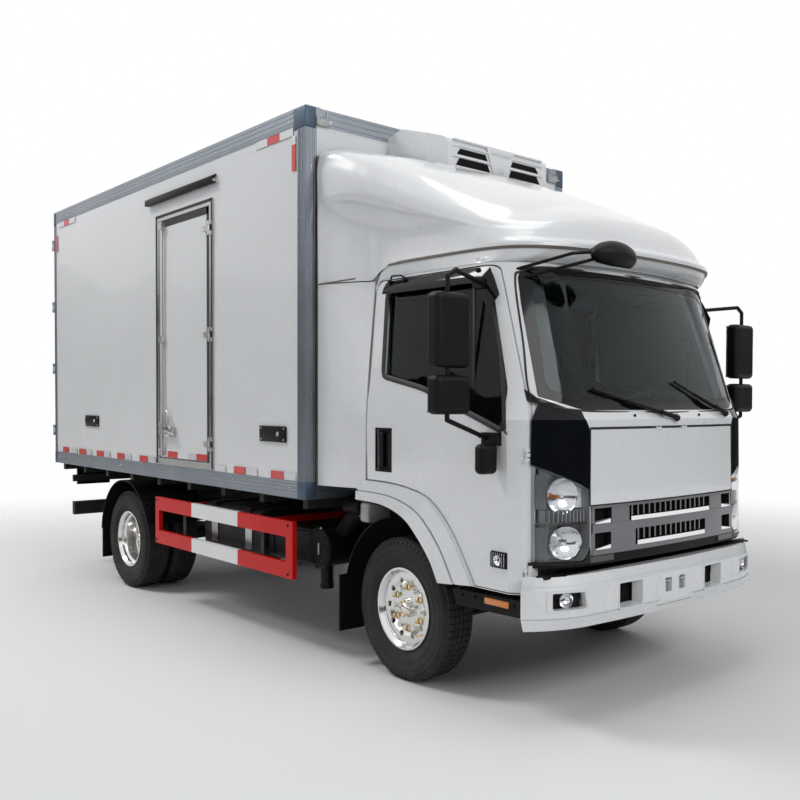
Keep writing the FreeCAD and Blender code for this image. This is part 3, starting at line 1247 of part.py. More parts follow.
def side_door():
    """Insulated leaf with its hinges, lock bar and handle."""
    gap = RUNNING_GAP
    leaf = block((SIDE_DOOR_REAR + DOOR_FRAME + gap, SIDE_DOOR_FRONT - DOOR_FRAME - gap),
                 (-BOX_SIDE - 4, -PANEL_SIDE + BOX_WALL),
                 (SIDE_DOOR_BOTTOM + DOOR_FRAME + gap, SIDE_DOOR_TOP - DOOR_FRAME - gap))
    parts = [leaf]
    face = -BOX_SIDE - 4
    for z in side_hinge_heights():
        span = (z - HINGE_HALF + FIT, z + HINGE_HALF - FIT)
        parts.append(block((SIDE_HINGE_X - 70, SIDE_HINGE_X - 20), (SIDE_HINGE_Y - 4, face), span))
        parts.append(block((SIDE_HINGE_X - 30, SIDE_HINGE_X), (SIDE_HINGE_Y - 4, SIDE_HINGE_Y + 5), span))
        parts.append(rod((SIDE_HINGE_X, SIDE_HINGE_Y, span[0]), (SIDE_HINGE_X, SIDE_HINGE_Y, span[1]), 10))
    bar_x, bar_y = SIDE_DOOR_REAR + DOOR_FRAME + 85, face - 20
    low, high = SIDE_DOOR_BOTTOM + DOOR_FRAME + gap, SIDE_DOOR_TOP - DOOR_FRAME - gap
    parts.append(rod((bar_x, bar_y, low + 10), (bar_x, bar_y, high - 10), 12))
    for z in (low + 40, low + 230, (low + high) / 2, high - 40):
        parts.append(block((bar_x - 30, bar_x + 30), (bar_y - 12, face), (z - 22, z + 22)))
    parts.append(block((bar_x - 10, bar_x + 190), (bar_y - 24, bar_y - 6), (low + 168, low + 198)))
    parts.append(block((bar_x + 120, bar_x + 190), (bar_y - 10, face), (low + 150, low + 215)))
    return fused(parts)


def rear_leaf():
    """Left rear door leaf, closing over the box's rear opening."""
    gap = RUNNING_GAP
    outer_y = PANEL_SIDE - BOX_WALL - gap
    low, high = BOX_UNDERSIDE + RAIL_COVER + gap, BOX_TOP - RAIL_COVER - gap
    leaf = block((BOX_REAR - LEAF_PROUD, BOX_REAR + DOOR_THICK), (LEAF_MEETING, outer_y), (low, high))
    parts = [leaf]
    for z in rear_hinge_heights():
        span = (z - HINGE_HALF + FIT, z + HINGE_HALF - FIT)
        parts.append(block((REAR_HINGE_X - 4, REAR_HINGE_X + 8), (outer_y - 160, REAR_HINGE_Y), span))
        parts.append(rod((REAR_HINGE_X, REAR_HINGE_Y, span[0]), (REAR_HINGE_X, REAR_HINGE_Y, span[1]), 11))
    bar_x = BOX_REAR - LEAF_PROUD - 26
    for y in (REAR_BAR_INNER_Y, REAR_BAR_OUTER_Y):
        parts.append(rod((bar_x, y, low + 10), (bar_x, y, high - 10), 11))
        for z in (low + 60, low + 480, (low + high) / 2 + 300, high - 60):
            parts.append(block((bar_x - 12, bar_x + 26), (y - 28, y + 28), (z - 22, z + 22)))
        parts.append(block((BOX_REAR - REAR_HARDWARE, bar_x - 6), (y - 15, y + 150), (low + 330, low + 356)))
    return fused(parts)


def reefer_unit():
    """Condenser unit over the cab and the evaporator inside, joined through the wall."""
    rear = PANEL_FRONT + FIT
    over_rail = BOX_FRONT + FIT
    rail_low = BOX_TOP - RAIL_COVER - FIT
    front = FRONT_AXLE_X - 170
    profile = [(rear, 2640), (front - 60, 2640, 30), (front, 2700, 30), (front - 10, 3000, 40),
               (rear + 130, 3095, 60), (over_rail, 3060), (over_rail, rail_low), (rear, rail_low)]
    body = slab(profile, "y", -500, 500)
    taper = slab([(rear, 500), (front - 120, 480), (front, 410), (front, -410), (front - 120, -480),
                  (rear, -500)],
                 "z", 2500, 3200)
    body = body.common(taper)
    for row in range(3):
        z = 2790 + row * 62
        slot = slab([(70 + row * 12, z), (330 + row * 8, z), (300 + row * 8, z + 36),
                     (90 + row * 12, z + 36)], "x",
                    front - 70, front + 20, 5)
        body = body.cut(slot).cut(mirrored(slot))
    inside = PANEL_FRONT - BOX_WALL - FIT
    evaporator = slab([(inside, 2700), (inside - 420, 2760, 30), (inside - 420, 2990, 20), (inside, 2990)],
                      "y",
                      -EVAPORATOR_HALF, EVAPORATOR_HALF)
    neck = block((inside - 10, rear + 10), (-290, 290), (2730, 2890))
    return fused([body, evaporator, neck])


def save(name, shape):
    """Write one piece of the truck to its own file."""
    solids = shape.Solids
    if not solids or not shape.isValid():
        raise ValueError(name + " is not a valid solid")
    result = solids[0] if len(solids) == 1 else Part.makeCompound(solids)
    result.exportStep(os.path.join("parts", name + ".step"))


os.makedirs("parts", exist_ok=True)

save("frame_rails", frame_rails())
save("front_axle", front_axle())
save("leaf_springs", leaf_springs())
save("rear_axle", rear_axle())
save("engine_block", engine_block())
save("driveline", driveline())
save("exhaust", exhaust())
save("fuel_tank", fuel_tank())
save("air_cleaner", air_cleaner())
save("battery_box", battery_box())
save("side_guards", side_guards())
save("mudguards", mudguards())
save("cab_steps", cab_steps())
save("front_bumper", front_bumper())
save("rear_bumper", rear_bumper())
save("tail_lamps", tail_lamps())
save("clear_lamps", clear_lamps())

save("box_floor", box_floor())
save("box_roof", box_roof())
save("box_wall_left", side_wall())
save("box_wall_right", box_wall_right())
save("box_wall_front", box_wall_front())
save("box_frame", box_frame())
save("side_door_frame", side_door_frame())
save("side_door", side_door())
save("rear_door_left", rear_leaf())
save("rear_door_right", mirrored(rear_leaf()))
save("reefer_unit", reefer_unit())

save("cab_shell", cab_shell())
save("cab_glass", cab_glass())
save("corner_panels", corner_panels())
save("headlamps", headlamps())
save("grille", grille())
save("front_panel", front_panel())
save("wheel_arches", wheel_arches())
save("roof_fairing", roof_fairing())
save("dashboard", dashboard())
save("seats", seats())
save("steering_wheel", steering_wheel())
save("front_mirror", front_mirror())
save("wipers", wipers())

for side, turn in (("left", lambda shape: shape), ("right", mirrored)):
    save("cab_door_" + side, turn(cab_door()))
    save("door_glass_" + side, turn(door_glass()))
    save("mirror_" + side, turn(mirror()))
    save("knuckle_" + side, turn(knuckle()))
    save("front_rim_" + side, turn(front_rim()))
    save("front_tyre_" + side, turn(tyre(FRONT_TRACK / 2, FRONT_AXLE_X)))
    save("rear_rims_" + side, turn(rear_rim()))
    outer = REAR_OUTER_TRACK / 2
    twins = [tyre(outer, REAR_AXLE_X), tyre(outer - TWIN_SPACING, REAR_AXLE_X)]
    save("rear_tyres_" + side, turn(Part.makeCompound(twins)))
save("tie_rod", tie_rod())
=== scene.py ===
import bpy, bmesh, math
from mathutils import Matrix, Vector


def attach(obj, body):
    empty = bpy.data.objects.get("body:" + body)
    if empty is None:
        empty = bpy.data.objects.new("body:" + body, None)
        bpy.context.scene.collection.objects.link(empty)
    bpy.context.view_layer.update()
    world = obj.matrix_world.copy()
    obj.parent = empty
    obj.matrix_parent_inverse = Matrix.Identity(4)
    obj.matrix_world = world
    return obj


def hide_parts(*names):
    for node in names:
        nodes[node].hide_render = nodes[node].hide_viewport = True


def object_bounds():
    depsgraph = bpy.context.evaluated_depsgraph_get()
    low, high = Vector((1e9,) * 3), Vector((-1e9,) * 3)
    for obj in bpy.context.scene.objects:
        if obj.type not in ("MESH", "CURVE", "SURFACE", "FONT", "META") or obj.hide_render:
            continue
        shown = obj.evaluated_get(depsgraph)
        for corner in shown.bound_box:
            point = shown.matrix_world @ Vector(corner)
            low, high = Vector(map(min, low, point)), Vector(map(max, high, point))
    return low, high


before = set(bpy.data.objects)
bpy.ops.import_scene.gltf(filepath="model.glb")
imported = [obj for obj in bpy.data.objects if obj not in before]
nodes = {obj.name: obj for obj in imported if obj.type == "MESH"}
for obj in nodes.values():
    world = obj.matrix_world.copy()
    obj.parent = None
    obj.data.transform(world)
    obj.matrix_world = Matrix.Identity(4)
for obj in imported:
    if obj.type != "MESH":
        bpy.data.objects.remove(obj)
box_at_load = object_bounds()

FRONT_AXLE = 1.850
REAR_AXLE = -1.510
AXLE_HEIGHT = 0.380
SIDES = ((1, "left"), (-1, "right"))

# Shader helpers


def make(tree, kind, values=None, **settings):
    """Adds a shader node with its settings, and with values for its inputs by name or number."""
    item = tree.nodes.new("ShaderNode" + kind)
    for setting, value in settings.items():
        setattr(item, setting, value)
    for socket, value in (values or {}).items():
        item.inputs[socket].default_value = value
    return item


def wire(tree, *wires):
    """Links nodes; each wire says (node, output, node, input)."""
    for start, out, end, into in wires:
        tree.links.new(start.outputs[out], end.inputs[into])


def node_group(name, inputs, outputs):
    """An empty shader group with sockets given as (name, kind, default), and its two ends."""
    group = bpy.data.node_groups.new(name, "ShaderNodeTree")
    for direction, sockets in (("INPUT", inputs), ("OUTPUT", outputs)):
        for title, kind, *default in sockets:
            socket = group.interface.new_socket(name=title, in_out=direction, socket_type="NodeSocket" + kind)
            if default:
                socket.default_value = default[0]
    return group, group.nodes.new("NodeGroupInput"), group.nodes.new("NodeGroupOutput")


def fine_grain_group():
    """Small bumps and an uneven gloss over a finish."""
    group, start, end = node_group("fine_grain", (("Scale", "Float", 200.0), ("Gloss from", "Float", 0.3),
                                                  ("Gloss to", "Float", 0.4)),
                                   (("Roughness", "Float"), ("Height", "Float")))
    place, fine = make(group, "TexCoord"), make(group, "TexNoise", {"Detail": 4.0})
    broad = make(group, "TexNoise", {"Scale": 3.0, "Detail": 3.0})
    spread = make(group, "MapRange", {"From Min": 0.3, "From Max": 0.7})
    wire(group, (place, "Object", fine, "Vector"), (place, "Object", broad, "Vector"),
         (start, "Scale", fine, "Scale"), (broad, "Fac", spread, "Value"), (start, "Gloss from", spread, "To Min"),
         (start, "Gloss to", spread, "To Max"), (spread, "Result", end, "Roughness"), (fine, "Fac", end, "Height"))
    return group


def road_dust_group():
    """Dust that settles on the low parts of the truck, as a changed colour."""
    group, start, end = node_group("road_dust", (("Color", "Color"), ("Dust", "Color", (0.30, 0.27, 0.23, 1)),
                                                 ("Amount", "Float", 0.3), ("Low", "Float", 0.15),
                                                 ("High", "Float", 1.1)), (("Color", "Color"),))
    place, split = make(group, "TexCoord"), make(group, "SeparateXYZ")
    noise = make(group, "TexNoise", {"Scale": 9.0, "Detail": 6.0})
    fall = make(group, "MapRange", {"To Min": 1.0, "To Max": 0.0})
    patch, share = [make(group, "Math", operation="MULTIPLY") for _ in range(2)]
    mix = make(group, "Mix", data_type="RGBA")
    wire(group, (place, "Object", split, 0), (place, "Object", noise, "Vector"), (split, "Z", fall, "Value"),
         (start, "Low", fall, "From Min"), (start, "High", fall, "From Max"), (fall, "Result", patch, 0),
         (noise, "Fac", patch, 1), (patch, 0, share, 0), (start, "Amount", share, 1), (share, 0, mix, "Factor"),
         (start, "Color", mix, "A"), (start, "Dust", mix, "B"), (mix, "Result", end, "Color"))
    return group


FINE_GRAIN = fine_grain_group()
ROAD_DUST = road_dust_group()


def new_material(name):
    """A material, its node tree and its main shader."""
    material = bpy.data.materials.new(name)
    material.use_nodes = True
    return material, material.node_tree, material.node_tree.nodes["Principled BSDF"]


def finish(name, color, gloss=(0.3, 0.4), metal=0.0, grain=(300.0, 0.0), dust=0.12, vary=0.06, coat=0.0, specular=0.5,
           bare=None):
    """A painted, moulded or metal finish: shaded colour, uneven gloss, grain and road dust.

    With bare=(axis, place) everything beyond that place along the axis is bright steel instead."""
    material, tree, shader = new_material(name)
    place, clouds = make(tree, "TexCoord"), make(tree, "TexNoise", {"Scale": 2.3, "Detail": 4.0})
    ramp = make(tree, "ValToRGB")
    for stop, spot, share in zip(ramp.color_ramp.elements, (0.3, 0.7), (1 - vary, 1)):
        stop.position, stop.color = spot, [c * share for c in color] + [1]
    dusty = make(tree, "Group", {"Amount": dust}, node_tree=ROAD_DUST)
    grained = make(tree, "Group", {"Scale": grain[0], "Gloss from": gloss[0], "Gloss to": gloss[1]},
                   node_tree=FINE_GRAIN)
    wire(tree, (place, "Object", clouds, "Vector"), (clouds, "Fac", ramp, "Fac"), (ramp, "Color", dusty, "Color"),
         (dusty, "Color", shader, "Base Color"), (grained, "Roughness", shader, "Roughness"))
    for socket, value in (("Metallic", metal), ("Specular IOR Level", specular), ("Coat Weight", coat),
                          ("Coat Roughness", 0.05)):
        shader.inputs[socket].default_value = value
    if grain[1]:
        bump = make(tree, "Bump", {"Strength": grain[1], "Distance": 0.002})
        wire(tree, (grained, "Height", bump, "Height"), (bump, "Normal", shader, "Normal"))
    if bare:
        axis, edge = bare
        split, beyond = make(tree, "SeparateXYZ"), make(tree, "Math", {1: edge}, operation="LESS_THAN")
        steel = make(tree, "Mix", {"B": (0.50, 0.50, 0.49, 1)}, data_type="RGBA")
        wire(tree, (place, "Object", split, 0), (split, axis, beyond, 0), (beyond, 0, steel, "Factor"),
             (ramp, "Color", steel, "A"), (steel, "Result", dusty, "Color"), (beyond, 0, shader, "Metallic"))
    return material


def region_tone(material, low, high, color):
    """The finish takes another colour inside one block of space."""
    tree = material.node_tree
    dusty = next(n for n in tree.nodes if n.type == "GROUP" and n.node_tree == ROAD_DUST)
    place, split = make(tree, "TexCoord"), make(tree, "SeparateXYZ")
    moved = make(tree, "VectorMath", {1: [(a + b) / 2 for a, b in zip(low, high)]}, operation="SUBTRACT")
    scaled = make(tree, "VectorMath", {1: [(b - a) / 2 for a, b in zip(low, high)]}, operation="DIVIDE")
    size, inside = make(tree, "VectorMath", operation="ABSOLUTE"), make(tree, "Math", {1: 1.0}, operation="LESS_THAN")
    first, second = [make(tree, "Math", operation="MAXIMUM") for _ in range(2)]
    mix = make(tree, "Mix", {"B": list(color) + [1]}, data_type="RGBA")
    wire(tree, (place, "Object", moved, 0), (moved, 0, scaled, 0), (scaled, 0, size, 0), (size, 0, split, 0),
         (split, "X", first, 0), (split, "Y", first, 1), (first, 0, second, 0), (split, "Z", second, 1),
         (second, 0, inside, 0), (inside, 0, mix, "Factor"))
    tree.links.new(dusty.inputs["Color"].links[0].from_socket, mix.inputs["A"])
    wire(tree, (mix, "Result", dusty, "Color"))


def clear(name, color, ior):
    """Glass or clear plastic, with faint clouds in its tint."""
    material, tree, shader = new_material(name)
    for socket, value in (("Transmission Weight", 1.0), ("Roughness", 0.02), ("IOR", ior)):
        shader.inputs[socket].default_value = value
    place, noise, ramp = make(tree, "TexCoord"), make(tree, "TexNoise", {"Scale": 2.0}), make(tree, "ValToRGB")
    for stop, share in zip(ramp.color_ramp.elements, (0.9, 1)):
        stop.color = [c * share for c in color] + [1]
    wire(tree, (place, "Object", noise, "Vector"), (noise, "Fac", ramp, "Fac"), (ramp, "Color", shader, "Base Color"))
    return material


WHITE_PAINT, CAB_PAINT = [finish(name, (0.80, 0.81, 0.82), (0.24, 0.32), coat=0.6, dust=0.05, vary=0.015)
                          for name in ("white_paint", "cab_paint")]
# Painted shade: the cab's paint turns near black inside the cab, under its floor and in the nose behind the grille
# and bumper, where the shell is seen through glass and gaps
CABIN_SHADE, UNDERSIDE_SHADE = (0.05, 0.05, 0.053), (0.03, 0.03, 0.032)
for low_corner, high_corner, shade_tone in (((1.604, -0.887, 0.990), (2.460, 0.887, 1.600), CABIN_SHADE),
                                      ((1.604, -0.862, 1.590), (2.420, 0.862, 2.190), CABIN_SHADE),
                                      ((2.400, -0.825, 0.600), (2.800, 0.825, 1.405), UNDERSIDE_SHADE),
                                      ((1.590, -0.780, 0.300), (2.900, 0.780, 0.990), UNDERSIDE_SHADE),
                                      ((1.590, -0.740, 1.470), (2.795, 0.740, 2.085), CABIN_SHADE),
                                      ((2.800, -0.670, 0.650), (2.980, 0.670, 0.772), UNDERSIDE_SHADE)):
    region_tone(CAB_PAINT, low_corner, high_corner, shade_tone)
SIDE_LEAF_PANEL, REAR_LEAF_PANEL = [
    finish(name, (0.77, 0.78, 0.79), (0.32, 0.42), coat=0.25, dust=0.05, vary=0.02, bare=bare)
    for name, bare in (("side_leaf_panel", ("Y", -1.0808)), ("rear_leaf_panel", ("X", -2.9118)))]
WHITE_PANEL = finish("white_panel", (0.77, 0.78, 0.79), (0.32, 0.42), grain=(60.0, 0.02), coat=0.25, dust=0.05,
                     vary=0.02)
FLOOR_PANEL = finish("box_floor_panel", (0.60, 0.61, 0.61), (0.4, 0.55), grain=(400.0, 0.15), vary=0.1)
ALUMINIUM = finish("aluminium_trim", (0.30, 0.33, 0.37), (0.28, 0.42), 1.0, (500.0, 0.05), dust=0.08, vary=0.1)
STEEL = finish("steel_trim", (0.55, 0.55, 0.54), (0.22, 0.38), 1.0, (420.0, 0.06), dust=0.08, vary=0.15)
CAST_BLUE = finish("cast_corner", (0.075, 0.11, 0.16), (0.35, 0.5), 0.5, (260.0, 0.2), vary=0.15)
CHASSIS = finish("chassis_paint", (0.010, 0.010, 0.011), (0.42, 0.6), grain=(240.0, 0.15), dust=0.16, vary=0.3,
                 specular=0.25)
CAST_IRON = finish("cast_iron", (0.05, 0.05, 0.05), (0.5, 0.7), 0.6, (180.0, 0.35), dust=0.35, vary=0.3)
EXHAUST = finish("exhaust_steel", (0.25, 0.22, 0.19), (0.35, 0.6), 1.0, (200.0, 0.2), dust=0.3, vary=0.3)
BLACK_PLASTIC = finish("black_plastic", (0.0045, 0.0045, 0.005), (0.36, 0.48), grain=(900.0, 0.2), dust=0.015,
                       vary=0.2, specular=0.16)
GLOSS_BLACK = finish("gloss_black", (0.005, 0.006, 0.008), (0.05, 0.08), dust=0.01, vary=0.2, specular=0.22)
RED_GUARD = finish("red_guard", (0.62, 0.008, 0.006), (0.30, 0.38), dust=0.015, vary=0.08, specular=0.2)
RUBBER = finish("tyre", (0.012, 0.012, 0.0125), (0.6, 0.78), grain=(700.0, 0.35), dust=0.16, vary=0.25,
                specular=0.25)
SEAL = finish("black_seal", (0.010, 0.010, 0.010), (0.5, 0.7), grain=(500.0, 0.1), vary=0.2)
POLISHED = finish("polished_rim", (0.78, 0.78, 0.77), (0.12, 0.22), 1.0, (600.0, 0.03), dust=0.10, vary=0.06)
CHROME = finish("bright_chrome", (0.80, 0.81, 0.82), (0.05, 0.09), 1.0, dust=0.02, vary=0.03)
DARK_CHROME = finish("dark_chrome", (0.15, 0.155, 0.165), (0.12, 0.2), 0.9, dust=0.03, vary=0.08, coat=0.4)
BRASS = finish("nut_cap_gold", (0.72, 0.50, 0.20), (0.22, 0.34), 1.0, vary=0.1)
CABIN_PLASTIC = finish("cabin_plastic", (0.060, 0.060, 0.064), (0.5, 0.65), grain=(800.0, 0.3), dust=0.0, vary=0.15)
CABIN_LIGHT = finish("cabin_lining", (0.20, 0.20, 0.20), (0.6, 0.75), grain=(500.0, 0.3), dust=0.0, vary=0.1)
RED_TAPE = finish("red_tape", (0.66, 0.03, 0.025), (0.3, 0.4), grain=(420.0, 0.25), coat=0.4, vary=0.15)
SILVER_TAPE = finish("silver_tape", (0.72, 0.73, 0.75), (0.3, 0.4), 0.3, (420.0, 0.25), coat=0.4, vary=0.12)
AMBER = finish("amber_lens", (0.75, 0.22, 0.02), (0.12, 0.2), coat=0.8, vary=0.15)
RED_LENS = finish("red_lens", (0.45, 0.012, 0.012), (0.1, 0.18), coat=0.8, grain=(220.0, 0.2), vary=0.2)
BADGE_BLANK = finish("blank_plate", (0.72, 0.73, 0.73), (0.35, 0.5), 0.2, (300.0, 0.1), vary=0.05)
RESERVOIR = finish("milky_plastic", (0.62, 0.64, 0.60), (0.35, 0.5), grain=(300.0, 0.1), vary=0.08)
SCREEN_GLASS = clear("tinted_screen", (0.46, 0.54, 0.57), 1.25)
DOOR_GLASS = clear("tinted_door_glass", (0.16, 0.19, 0.20), 1.25)
LENS = clear("lamp_lens", (0.96, 0.97, 0.98), 1.18)
GASKET = finish("grey_gasket", (0.17, 0.15, 0.13), (0.55, 0.7), grain=(300.0, 0.2), vary=0.25)
REFLECTOR = finish("lamp_reflector", (0.80, 0.81, 0.83), (0.08, 0.14), 1.0, (46.0, 0.9), dust=0.0, vary=0.1)
LAMP_GREY = finish("lamp_housing", (0.40, 0.41, 0.42), (0.2, 0.3), 0.35, (200.0, 0.1), dust=0.0, vary=0.25)
# Near black: the radiator's own black, and painted shade on the sheets set behind the grille, bumper and condenser
# openings
BLACK_AND_SHADE = finish("black_and_painted_shade", (0.004, 0.004, 0.004), (0.7, 0.85), grain=(300.0, 0.2), dust=0.0, vary=0.3,
                    specular=0.2)


def cloth_finish(name, color):
    """Woven seat cloth with a fine ribbed weave."""
    material = finish(name, color, (0.75, 0.9), grain=(1400.0, 0.6), dust=0.0, vary=0.2)
    material.node_tree.nodes["Principled BSDF"].inputs["Sheen Weight"].default_value = 0.3
    return material


SEAT_CLOTH = cloth_finish("seat_cloth", (0.085, 0.088, 0.095))
SEAT_SIDE = cloth_finish("seat_side_cloth", (0.035, 0.035, 0.038))

# Mesh helpers


def new_object(name, mesh, *materials):
    """Puts a bmesh in the scene as an object with its materials."""
    data = bpy.data.meshes.new(name)
    mesh.to_mesh(data)
    mesh.free()
    for material in materials:
        data.materials.append(material)
    item = bpy.data.objects.new(name, data)
    bpy.context.scene.collection.objects.link(item)
    return item


def solid(name, mesh, material, body, slot, smooth=30.0):
    """Turns a bmesh into a named piece that rides on a body."""
    bmesh.ops.remove_doubles(mesh, verts=mesh.verts, dist=1e-6)
    bmesh.ops.recalc_face_normals(mesh, faces=mesh.faces)
    piece = new_object(name, mesh, *(material if isinstance(material, list) else [material]))
    piece.data.shade_smooth()
    piece.data.set_sharp_from_angle(angle=math.radians(smooth))
    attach(piece, body)
    return piece


def faces_of(verts):
    return list({f for v in verts for f in v.link_faces})


def edges_of(verts):
    return list({e for v in verts for e in v.link_edges})


def paint(verts, material):
    """Gives the faces at some vertices one of the piece's materials, by its number."""
    for face in faces_of(verts):
        face.material_index = material
    return verts


def soften(mesh, verts, edges, bevel, segments):
    """Rounds some edges of a shape and gives all its vertices."""
    made = bmesh.ops.bevel(mesh, geom=edges, offset=bevel, offset_type="OFFSET", segments=segments, profile=0.5,
                           affect="EDGES", material=-1, clamp_overlap=True)["faces"]
    return list({v for f in made for v in f.verts} | {v for v in verts if v.is_valid})


def add_box(mesh, low, high, bevel=0.0, segments=2, material=0):
    """A box between two corners with rounded edges."""
    made = bmesh.ops.create_cube(mesh, size=1.0)["verts"]
    bmesh.ops.scale(mesh, vec=[b - a for a, b in zip(low, high)], verts=made)
    bmesh.ops.translate(mesh, vec=[(a + b) / 2 for a, b in zip(low, high)], verts=made)
    paint(made, material)
    return soften(mesh, made, edges_of(made), bevel, segments) if bevel else made


def add_rod(mesh, start, end, radius, segments=20, bevel=0.0):
    """A round bar between two points, with softened ends."""
    start, end = Vector(start), Vector(end)
    line = end - start
    made = bmesh.ops.create_cone(mesh, cap_ends=True, segments=segments, radius1=radius, radius2=radius,
                                 depth=line.length)["verts"]
    if bevel:
        rims = [e for e in edges_of(made) if len(e.link_faces) == 2
                and max(len(f.verts) for f in e.link_faces) == segments]
        made = soften(mesh, made, rims, bevel, 2)
    turn = line.to_track_quat("Z", "Y").to_matrix().to_4x4()
    bmesh.ops.transform(mesh, matrix=Matrix.Translation((start + end) / 2) @ turn, verts=made)
    return made


def add_lathe(mesh, profile, centre, steps):
    """A closed profile of (radius, y) points spun about a line along Y."""
    cx, cz = centre
    verts = [mesh.verts.new((cx + r, y, cz)) for r, y in profile]
    edges = [mesh.edges.new(pair) for pair in zip(verts, verts[1:] + verts[:1])]
    bmesh.ops.spin(mesh, geom=verts + edges, cent=(cx, 0, cz), axis=(0, 1, 0), dvec=(0, 0, 0), angle=math.tau,
                   steps=steps, use_merge=True, use_duplicate=False)


def add_turned(mesh, profile, place, aim, steps=32):
    """A profile of (radius, height) points spun about an axis that points any way."""
    before = set(mesh.verts)
    verts = [mesh.verts.new((max(r, 0.0002), 0, h)) for r, h in profile]
    edges = [mesh.edges.new(pair) for pair in zip(verts, verts[1:])]
    bmesh.ops.spin(mesh, geom=verts + edges, cent=(0, 0, 0), axis=(0, 0, 1), dvec=(0, 0, 0), angle=math.tau,
                   steps=steps, use_merge=True, use_duplicate=False)
    made = [v for v in mesh.verts if v not in before]
    turn = Vector(aim).normalized().to_track_quat("Z", "Y").to_matrix().to_4x4()
    bmesh.ops.transform(mesh, matrix=Matrix.Translation(Vector(place)) @ turn, verts=made)
    return made


def add_plate(mesh, points, thickness, bevel):
    """A flat outline of points drawn out along X."""
    verts = [mesh.verts.new(p) for p in points]
    out = bmesh.ops.extrude_face_region(mesh, geom=[mesh.faces.new(verts)])["geom"]
    moved = [v for v in out if isinstance(v, bmesh.types.BMVert)]
    bmesh.ops.translate(mesh, vec=(thickness, 0, 0), verts=moved)
    made = verts + moved
    return soften(mesh, made, edges_of(made), bevel, 2)


def add_tube(mesh, points, radius, segments=14):
    """A bent tube through points, its corners rounded by short runs."""
    path = [Vector(p) for p in points]
    smooth = [path[0]]
    for before, here, after in zip(path, path[1:], path[2:]):
        cut = min((here - before).length, (after - here).length, radius * 5) * 0.45
        a = here + (before - here).normalized() * cut
        b = here + (after - here).normalized() * cut
        smooth += [a.lerp(here, step / 5).lerp(here.lerp(b, step / 5), step / 5) for step in range(6)]
    smooth.append(path[-1])
    rings = []
    up = Vector((0, 0, 1))
    for number, point in enumerate(smooth):
        ahead = (smooth[min(number + 1, len(smooth) - 1)] - smooth[max(number - 1, 0)]).normalized()
        across = ahead.cross(up)
        if across.length < 0.1:
            across = ahead.cross(Vector((0, 1, 0)))
        across.normalize()
        up = across.cross(ahead).normalized()
        circle = bmesh.ops.create_circle(mesh, cap_ends=number in (0, len(smooth) - 1), segments=segments,
                                         radius=radius)["verts"]
        turn = Matrix((across, up, -ahead)).transposed().to_4x4()
        bmesh.ops.transform(mesh, matrix=Matrix.Translation(point) @ turn, verts=circle)
        rings.append(circle)
    for pair in zip(rings, rings[1:]):
        edges = [e for ring in pair for e in edges_of(ring) if e.verts[0] in ring and e.verts[1] in ring]
        bmesh.ops.bridge_loops(mesh, edges=edges)
    return [v for ring in rings for v in ring]


def add_hex(mesh, centre, along, radius, height):
    """A bolt or nut head with six sides and a washer under it."""
    centre, along = Vector(centre), Vector(along).normalized()
    return (add_rod(mesh, centre, centre + along * height * 0.25, radius * 1.35)
            + add_rod(mesh, centre + along * height * 0.2, centre + along * height, radius, 6, radius * 0.12))


def both_sides(mesh, verts=None):
    """Adds the mirror image of some vertices' faces, or of all that is made, on the other side of the truck."""
    verts = list(verts or mesh.verts)
    copy = bmesh.ops.duplicate(mesh, geom=verts + faces_of(verts))["geom"]
    new = [v for v in copy if isinstance(v, bmesh.types.BMVert)]
    bmesh.ops.scale(mesh, vec=(1, -1, 1), verts=new)
    bmesh.ops.reverse_faces(mesh, faces=[f for f in copy if isinstance(f, bmesh.types.BMFace)])
    return verts + new


def widths(sign, near, far):
    """Two widths on one side of the truck, the lower one first."""
    return tuple(sorted((sign * near, sign * far)))


# Camera at the photograph's place; its middle and focal length are in pixels of the photograph

PICTURE, FOCAL_LENGTH, MIDDLE = 800.0, 910.11, (475.01, 423.56)
SENSOR = 36.0


def make_camera():
    place = Vector((5.6356, -3.8657, 1.4845))
    yaw, pitch, roll = [math.radians(turn) for turn in (137.156, -1.4098, 0.2625)]
    ahead = Vector((math.cos(pitch) * math.cos(yaw), math.cos(pitch) * math.sin(yaw), math.sin(pitch)))
    right = ahead.cross(Vector((0, 0, 1))).normalized()
    up = right.cross(ahead)
    side = right * math.cos(roll) + up * math.sin(roll)
    top = up * math.cos(roll) - right * math.sin(roll)
    camera = bpy.data.objects.new("camera", bpy.data.cameras.new("camera"))
    camera.data.sensor_width = SENSOR
    camera.data.lens = FOCAL_LENGTH * SENSOR / PICTURE
    camera.data.shift_x = (PICTURE / 2 - MIDDLE[0]) / PICTURE
    camera.data.shift_y = (MIDDLE[1] - PICTURE / 2) / PICTURE
    camera.matrix_world = Matrix.Translation(place) @ Matrix((side, top, -ahead)).transposed().to_4x4()
    bpy.context.scene.collection.objects.link(camera)
    bpy.context.scene.camera = camera


# Floor, background and lamps

LAMPS = (("key_lamp", (-4.5, -5.0, 9.0), (0.3, 0.0, 1.2), (2.5, 2.5), 400),
         ("top_lamp", (2.2, -0.6, 8.5), (1.8, 0.0, 1.0), (3.5, 3.5), 120),
         ("front_lamp", (9.5, -1.0, 5.5), (1.5, 0.0, 1.5), (5, 3), 230),
         ("side_lamp", (0.0, -11.0, 4.0), (0.0, 0.0, 1.5), (8, 4), 60),
         ("rear_lamp", (-9.0, 7.0, 6.0), (-1.0, 0.0, 1.5), (6, 5), 220))


